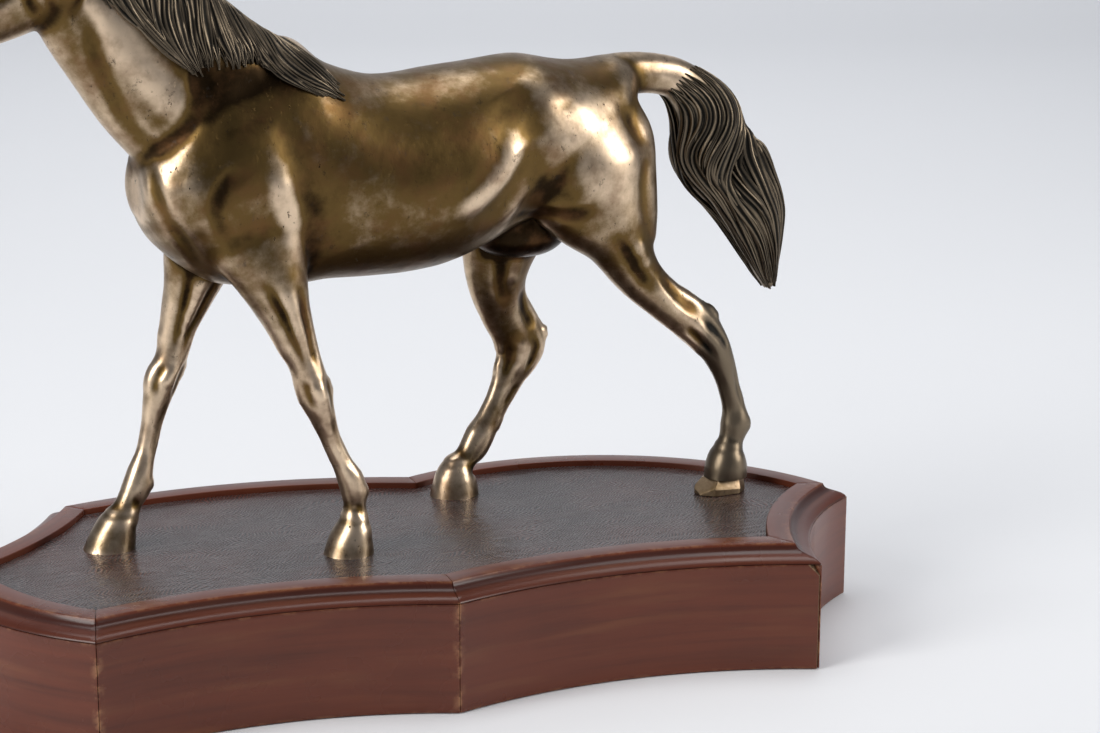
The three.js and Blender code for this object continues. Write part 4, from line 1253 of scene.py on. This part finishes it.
def casting_planes(name):
    """The cuts that leave one casting, each as (point, way that is cut off)."""
    below = (Vector((0, 0, LEG_JOINT_Z + SEAM)), DOWN)
    above = (Vector((0, 0, LEG_JOINT_Z - SEAM)), UP)
    if name == "trunk":
        return [below, (NECK_SPOT - NECK_WAY * SEAM, NECK_WAY),
                (Vector((TAIL_JOINT_X - SEAM, 0, 0)), TAILWARDS)]
    if name == "neck_and_head":
        return [(NECK_SPOT + NECK_WAY * SEAM, -NECK_WAY)]
    if name == "tail":
        return [(Vector((TAIL_JOINT_X + SEAM, 0, 0)), -TAILWARDS)]
    base = BLOCK_TOP if name == "near_hindleg" else -2 * HALF_GAP
    return [above, (Vector((0, 0, base)), DOWN)]


def belongs(name, spot):
    """Whether a loose lump, known by its middle, is part of a casting."""
    x, y, z = spot
    if name == "tail":
        return x > 140 and z > 140
    if name in LEGS:
        return (x < 0) == ("fore" in name) and (y < 0) == ("near" in name) and (x < 200 or z < 60)
    return True


def lumps_of(bm):
    """Groups of connected verts."""
    unseen = set(bm.verts)
    while unseen:
        start = unseen.pop()
        group, front = [start], [start]
        while front:
            vert = front.pop()
            for edge in vert.link_edges:
                other = edge.other_vert(vert)
                if other in unseen:
                    unseen.remove(other)
                    group.append(other)
                    front.append(other)
        yield group


def casting_from(horse, name):
    """One casting cut from the whole skin, without the crumbs that the cuts leave."""
    bm = bmesh.new()
    bm.from_mesh(horse)
    for point, way in casting_planes(name):
        side_of(bm, point, way)
    for group in list(lumps_of(bm)):
        middle = sum((vert.co for vert in group), Vector()) / len(group)
        if len(group) < CRUMB or not belongs(name, middle):
            bmesh.ops.delete(bm, geom=group, context="VERTS")
    return bm


# ------------------------------------------------------------------ hair

def lock(bm, layers, path, normals, width, thickness, strands, rng):
    """One lock of hair: a tapering grooved strip laid on the skin."""
    tip = 0.12
    count = len(path)
    heading = np.gradient(path, axis=0)
    around = 8 * strands
    phase = rng.uniform(0, 2 * np.pi)
    drift = rng.uniform(-1.6, 1.6)
    swell = rng.uniform(0.85, 1.15)
    rings = []
    for k in range(count):
        t = k / (count - 1)
        ahead = Vector(heading[k]).normalized()
        out = Vector(normals[k])
        out = (out - ahead * out.dot(ahead)).normalized()
        across = ahead.cross(out)
        taper = ramp01(np.array(t), -0.05, 0.20) * (1 - (1 - tip) * ramp01(np.array(t), 0.62, 1.0))
        half = width / 2 * float(taper) * (1 + 0.15 * math.sin(t * 7 * swell + phase))
        deep = thickness / 2 * float(taper) ** 0.7
        matrix = Matrix((across * half, out * deep, ahead)).transposed().to_4x4()
        matrix.translation = path[k]
        made = bmesh.ops.create_circle(bm, cap_ends=False, radius=1, segments=around, matrix=matrix)["verts"]
        centre = Vector(path[k])
        for j, vert in enumerate(made):
            angle = 2 * np.pi * j / around
            groove = math.cos(strands * 2 * angle + phase + drift * t * 2)
            vert.co = centre + (vert.co - centre) * (1 + 0.17 * groove)
            # Paler on each strand's ridge, partly bronze and partly a painted highlight, and dark in its
            # grooves.
            vert[layers["cavity"]] = 0.2 + 0.85 * groove * (0.75 + 0.25 * math.sin(5 * t + phase))
            vert[layers["hair"]] = 1.0
            vert[layers["rub_and_painted_light"]] = 0.0
        rings.append(list({edge for vert in made for edge in vert.link_edges}))
    for before, after in zip(rings, rings[1:]):
        bmesh.ops.bridge_loops(bm, edges=before + after)
    for ring in (rings[0], rings[-1]):
        bmesh.ops.contextual_create(bm, geom=ring)


def hair_mesh(clay, guides, side, count, width, thickness, strands, steps, seed, raise_by):
    """Locks spread evenly between the guide lines."""
    rng = np.random.default_rng(seed)
    bm = bmesh.new()
    layers = {name: bm.verts.layers.float.new(name) for name in ("cavity", "hair", "rub_and_painted_light")}
    lines = [smooth_curve(guide, steps) for guide in guides]
    order = rng.permutation(count)
    for rank, pick in enumerate(order):
        place = (pick + rng.uniform(-0.25, 0.25)) / (count - 1) * (len(lines) - 1)
        place = min(max(place, 0), len(lines) - 1.001)
        k = int(place)
        share = place - k
        line = lines[k] * (1 - share) + lines[k + 1] * share
        t = np.linspace(0, 1, steps)
        heading = np.gradient(line, axis=0)
        heading /= np.linalg.norm(heading, axis=1)[:, None]
        sway = rng.uniform(-0.9, 0.9) * np.sin(t * rng.uniform(3, 7) + rng.uniform(0, 6)) * t
        line = line + np.column_stack([-heading[:, 1], heading[:, 0]]) * sway[:, None]
        stop = rng.uniform(0.90, 1.0)
        keep = max(6, round(steps * stop))
        spots, normals = zip(*(clay.drop(x, z, side) for x, z in line[:keep]))
        spots, normals = np.array(spots), np.array(normals)
        for _ in range(4):
            spots[1:-1] = (spots[:-2] + 2 * spots[1:-1] + spots[2:]) / 4
            normals[1:-1] = (normals[:-2] + 2 * normals[1:-1] + normals[2:]) / 4
        t = np.linspace(0, 1, keep)[:, None]
        height = raise_by * (0.25 + 0.75 * rank / count) * np.sin(np.clip(t * 1.25, 0, 1) * np.pi / 2)
        spots = spots + normals * height * (1 - 0.6 * ramp01(t, 0.75, 1.0))
        lock(bm, layers, spots, normals, width * rng.uniform(0.75, 1.3), thickness, strands, rng)
    bmesh.ops.recalc_face_normals(bm, faces=bm.faces)
    return bm


def joined(name, parts):
    """Several bmeshes in one mesh, in metres, placed on the plinth."""
    whole = bmesh.new()
    for part in parts:
        loose = bpy.data.meshes.new("part")
        part.to_mesh(loose)
        part.free()
        whole.from_mesh(loose)
        bpy.data.meshes.remove(loose)
    return mesh_from(whole, name, HORSE_FRAME)


# ------------------------------------------------------------------ operators

def material_named(name, maker):
    return bpy.data.materials.get(name) or maker()


class STATUE_OT_side_boards(bpy.types.Operator):
    """Seven bowed side boards with mitred corners"""
    bl_idname = "statue.side_boards"
    bl_label = "Side boards"

    def execute(self, context):
        woods = [material_named("stained_mahogany", mahogany_material), raw_wood_material()]
        for index in range(len(SIDES)):
            plinth_side(index, "board", woods)
        return {"FINISHED"}


class STATUE_OT_rim_mouldings(bpy.types.Operator):
    """Seven rim mouldings: flat rim, cove and bead"""
    bl_idname = "statue.rim_mouldings"
    bl_label = "Rim mouldings"

    def execute(self, context):
        wood = material_named("stained_mahogany", mahogany_material)
        for index in range(len(SIDES)):
            plinth_side(index, "moulding", [wood])
        return {"FINISHED"}


class STATUE_OT_panel(bpy.types.Operator):
    """The tooled panel set into the rim"""
    bl_idname = "statue.panel"
    bl_label = "Tooled panel"

    def execute(self, context):
        piece = add_piece("tooled_panel", panel_mesh(), [panel_material()], ["textured_panel"])
        shade_by_angle(piece, 50)
        return {"FINISHED"}


class STATUE_OT_carcass(bpy.types.Operator):
    """Finishes for the deck, battens, glue blocks, pads and fixings"""
    bl_idname = "statue.carcass"
    bl_label = "Carcass and fixings"

    def execute(self, context):
        makers = {
            ("deck_", "glue_block"): pine_material, ("stud_", "washer_", "nut_"): steel_material,
            ("felt_pad",): felt_material,
        }
        for starts, maker in makers.items():
            material = maker()
            for name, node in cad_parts.items():
                if name.startswith(starts):
                    for slot in node.material_slots:
                        slot.material = material
        return {"FINISHED"}


class STATUE_OT_castings(bpy.types.Operator):
    """The horse: trunk, neck and head, tail and four legs, cut from one modelled skin"""
    bl_idname = "statue.castings"
    bl_label = "Bronze castings"

    def execute(self, context):
        look = context.scene.statue_bronze
        bronze = material_named("bronze_patina", bronze_material)
        horse = sculpted_horse(look.voxel / MM)
        clay = Clay(horse)
        # The mane is made twice, because each casting keeps the locks on its own side of the joint.
        neck_mane, trunk_mane = (
            hair_mesh(
                clay, MANE, -1, look.mane_locks, width=6.2, thickness=4.4, strands=4, steps=26, seed=4,
                raise_by=2.3)
            for _ in range(2))
        side_of(neck_mane, NECK_SPOT + NECK_WAY * SEAM, -NECK_WAY)
        side_of(trunk_mane, NECK_SPOT - NECK_WAY * SEAM, NECK_WAY)
        forelock = [
            hair_mesh(
                clay, FORELOCK, side, 5, width=4.6, thickness=3.0, strands=3, steps=18, seed=40 + side,
                raise_by=1.4)
            for side in (-1, 1)]
        tail = [
            hair_mesh(
                clay, TAIL_HAIR, side, look.tail_locks, width=8.0, thickness=5.6, strands=4, steps=40,
                seed=20 + side, raise_by=1.9)
            for side in (-1, 1)]
        hair = {"trunk": [trunk_mane], "neck_and_head": [neck_mane, *forelock], "tail": tail}
        for name in ("trunk", "neck_and_head", "tail", *LEGS):
            mesh = joined(f"cast_{name}", [casting_from(horse, name), *hair.get(name, [])])
            shade_by_angle(add_piece(f"cast_{name}", mesh, [bronze], [name]), 55)
        return {"FINISHED"}


# The block's plan, and the (spot, way) of each filed facet.
BLOCK_PLAN = [
    (152, -35), (158, -41), (173, -41.5), (179, -37), (179, -27), (173, -22.5), (158, -23), (152, -29)]
BLOCK_FACETS = [
    ((152.4, -32, 2.0), (-1, -0.35, 1.0)), ((153.5, -27, 3.5), (-0.8, 0.8, 0.9)),
    ((178, -37, 4.5), (0.7, -0.9, 0.35)), ((179, -30, 5.0), (1, 0.3, 0.4)),
    ((166, -41, 3.5), (0, -1, 0.45)), ((166, -23, 3.5), (0, 1, 0.45)),
]


class STATUE_OT_hoof_block(bpy.types.Operator):
    """The small filed block under the trailing hind hoof"""
    bl_idname = "statue.hoof_block"
    bl_label = "Hoof block"

    def execute(self, context):
        bronze = material_named("bronze_patina", bronze_material)
        bm = bmesh.new()
        face = bm.faces.new([bm.verts.new((x, y, 0)) for x, y in BLOCK_PLAN])
        made = bmesh.ops.extrude_face_region(bm, geom=[face])["geom"]
        top = [item for item in made if isinstance(item, bmesh.types.BMVert)]
        bmesh.ops.translate(bm, vec=(0, 0, BLOCK_TOP), verts=top)
        bmesh.ops.recalc_face_normals(bm, faces=bm.faces)
        for spot, way in BLOCK_FACETS:
            side_of(bm, Vector(spot), Vector(way).normalized())
        bmesh.ops.bevel(
            bm, geom=[e for e in bm.edges if e.calc_face_angle(0) > 0.4], offset=0.5, offset_type="OFFSET",
            segments=2, profile=0.5, affect="EDGES", material=-1, clamp_overlap=True)
        bmesh.ops.triangulate(bm, faces=bm.faces)
        bmesh.ops.subdivide_edges(bm, edges=bm.edges, cuts=3, use_grid_fill=True)
        mesh = mesh_from(bm, "cast_hoof_block", HORSE_FRAME)
        count = len(mesh.vertices)
        for name, value in (("cavity", 0.0), ("hair", 0.0), ("rub_and_painted_light", 0.6)):
            point_attribute(mesh, name, np.full(count, value))
        piece = add_piece("cast_hoof_block", mesh, [bronze], ["near_hind_hoof_block"])
        shade_by_angle(piece, 35)
        return {"FINISHED"}


# Sizes of the backdrop sweep and places of the lamps and the camera, in metres.
FLOOR_REACH = 7
BACKDROP_START, BACKDROP_RADIUS, BACKDROP_TOP = 2.6, 1.6, 6.0
BACKDROP_TURN = math.radians(-19)
MIDDLE = (0, 0, 0.2)
WARM, WHITE = (1, 0.98, 0.95), (1, 1, 1)
LAMPS = [
    ("left_softbox", (-1.5, -0.55, 0.95), MIDDLE, (0.8, 1.2), 23, WARM),
    ("right_softbox", (1.55, -0.75, 0.85), MIDDLE, (0.7, 1.1), 17, WARM),
    ("top_softbox", (0.0, 0.35, 1.75), MIDDLE, (1.6, 0.9), 15, WHITE),
    ("backdrop_wash", (0.4, 1.2, 2.6), (0.9, 3.9, 1.3), (3.0, 1.0), 60, WHITE),
]
SKY_COLOUR, SKY_STRENGTH = (0.80, 0.86, 1.0, 1), 0.20
# The camera, in the plinth's own millimetres, and how it is turned.
CAMERA_AT = (-347.5, -1224.7, 462.3)
CAMERA_PITCH, CAMERA_YAW, CAMERA_ROLL = math.radians(14.0), math.radians(18.99), math.radians(0.16)


def area_light(name, at, target, size, power, colour):
    data = bpy.data.lights.new(name, "AREA")
    data.shape = "RECTANGLE"
    data.size, data.size_y = size
    data.energy = power
    data.color = colour
    lamp = bpy.data.objects.new(name, data)
    bpy.context.collection.objects.link(lamp)
    lamp.location = at
    lamp.rotation_euler = (Vector(target) - Vector(at)).to_track_quat("-Z", "Y").to_euler()


def backdrop_mesh():
    """A floor that bends up into a wall behind the object."""
    bm = bmesh.new()
    start = [bm.verts.new((x, -FLOOR_REACH, 0)) for x in (-FLOOR_REACH, FLOOR_REACH)]
    sweep = [bm.edges.new(start)]
    bends = [(BACKDROP_START, 0.0)]
    for angle in np.linspace(0.1, math.pi / 2, 14):
        bends.append((
            BACKDROP_START + BACKDROP_RADIUS * math.sin(angle),
            BACKDROP_RADIUS - BACKDROP_RADIUS * math.cos(angle)))
    bends.append((BACKDROP_START + BACKDROP_RADIUS, BACKDROP_TOP))
    for y, z in bends:
        made = bmesh.ops.extrude_edge_only(bm, edges=sweep)["geom"]
        verts = [item for item in made if isinstance(item, bmesh.types.BMVert)]
        edges = [item for item in made if isinstance(item, bmesh.types.BMEdge)]
        sweep = [edge for edge in edges if all(vert in verts for vert in edge.verts)]
        for vert in verts:
            vert.co.y, vert.co.z = y, z
    bmesh.ops.rotate(bm, cent=(0, 0, 0), matrix=Matrix.Rotation(BACKDROP_TURN, 3, "Z"), verts=bm.verts)
    bmesh.ops.recalc_face_normals(bm, faces=bm.faces)
    return mesh_from(bm, "backdrop", Matrix.Identity(4))


class STATUE_OT_stage(bpy.types.Operator):
    """Pale floor and backdrop, soft lights and the camera"""
    bl_idname = "statue.stage"
    bl_label = "Stage"

    def execute(self, context):
        look = context.scene.statue_stage
        mesh = backdrop_mesh()
        backdrop = bpy.data.objects.new("backdrop", mesh)
        context.collection.objects.link(backdrop)
        mesh.materials.append(paper_material())
        mesh.polygons.foreach_set("use_smooth", [True] * len(mesh.polygons))

        for lamp in LAMPS:
            area_light(*lamp)

        world = bpy.data.worlds.new("studio")
        world.use_nodes = True
        sky = world.node_tree.nodes["Background"].inputs
        sky["Color"].default_value = SKY_COLOUR
        sky["Strength"].default_value = SKY_STRENGTH
        context.scene.world = world

        camera = bpy.data.cameras.new("camera")
        camera.lens = look.focal
        camera.sensor_width = 36
        camera.clip_end = 50
        view = bpy.data.objects.new("camera", camera)
        context.collection.objects.link(view)
        level = math.cos(CAMERA_PITCH)
        ahead = Vector((math.sin(CAMERA_YAW) * level, math.cos(CAMERA_YAW) * level, -math.sin(CAMERA_PITCH)))
        turn = ahead.to_track_quat("-Z", "Y").to_matrix() @ Matrix.Rotation(CAMERA_ROLL, 3, "Z")
        view.matrix_world = Matrix.Translation(PLINTH_FRAME @ Vector(CAMERA_AT)) @ turn.to_4x4()
        context.scene.camera = view
        context.scene.view_settings.view_transform = "Standard"
        return {"FINISHED"}


class STATUE_PT_panel(bpy.types.Panel):
    """Sizes, colours and building steps of the statue"""
    bl_idname = "STATUE_PT_panel"
    bl_label = "Bronze horse"
    bl_space_type = "VIEW_3D"
    bl_region_type = "UI"
    bl_category = "Statue"

    def draw(self, context):
        for group in (context.scene.statue_bronze, context.scene.statue_plinth, context.scene.statue_stage):
            box = self.layout.box()
            for name in group.bl_rna.properties.keys():
                if name not in {"rna_type", "name"}:
                    box.prop(group, name)
        for operator in BUILD_STEPS:
            self.layout.operator(operator.bl_idname)


BUILD_STEPS = (
    STATUE_OT_stage, STATUE_OT_side_boards, STATUE_OT_rim_mouldings, STATUE_OT_panel, STATUE_OT_carcass,
    STATUE_OT_castings, STATUE_OT_hoof_block,
)
CLASSES = (STATUE_PG_plinth, STATUE_PG_bronze, STATUE_PG_stage, *BUILD_STEPS, STATUE_PT_panel)


def register():
    for cls in CLASSES:
        bpy.utils.register_class(cls)
    bpy.types.Scene.statue_plinth = PointerProperty(type=STATUE_PG_plinth)
    bpy.types.Scene.statue_bronze = PointerProperty(type=STATUE_PG_bronze)
    bpy.types.Scene.statue_stage = PointerProperty(type=STATUE_PG_stage)


def unregister():
    del bpy.types.Scene.statue_plinth
    del bpy.types.Scene.statue_bronze
    del bpy.types.Scene.statue_stage
    for cls in reversed(CLASSES):
        bpy.utils.unregister_class(cls)


def main():
    register()
    bpy.ops.statue.stage()
    bpy.ops.statue.side_boards()
    bpy.ops.statue.rim_mouldings()
    bpy.ops.statue.panel()
    bpy.ops.statue.carcass()
    bpy.ops.statue.castings()
    bpy.ops.statue.hoof_block()


if __name__ == "__main__":
    main()
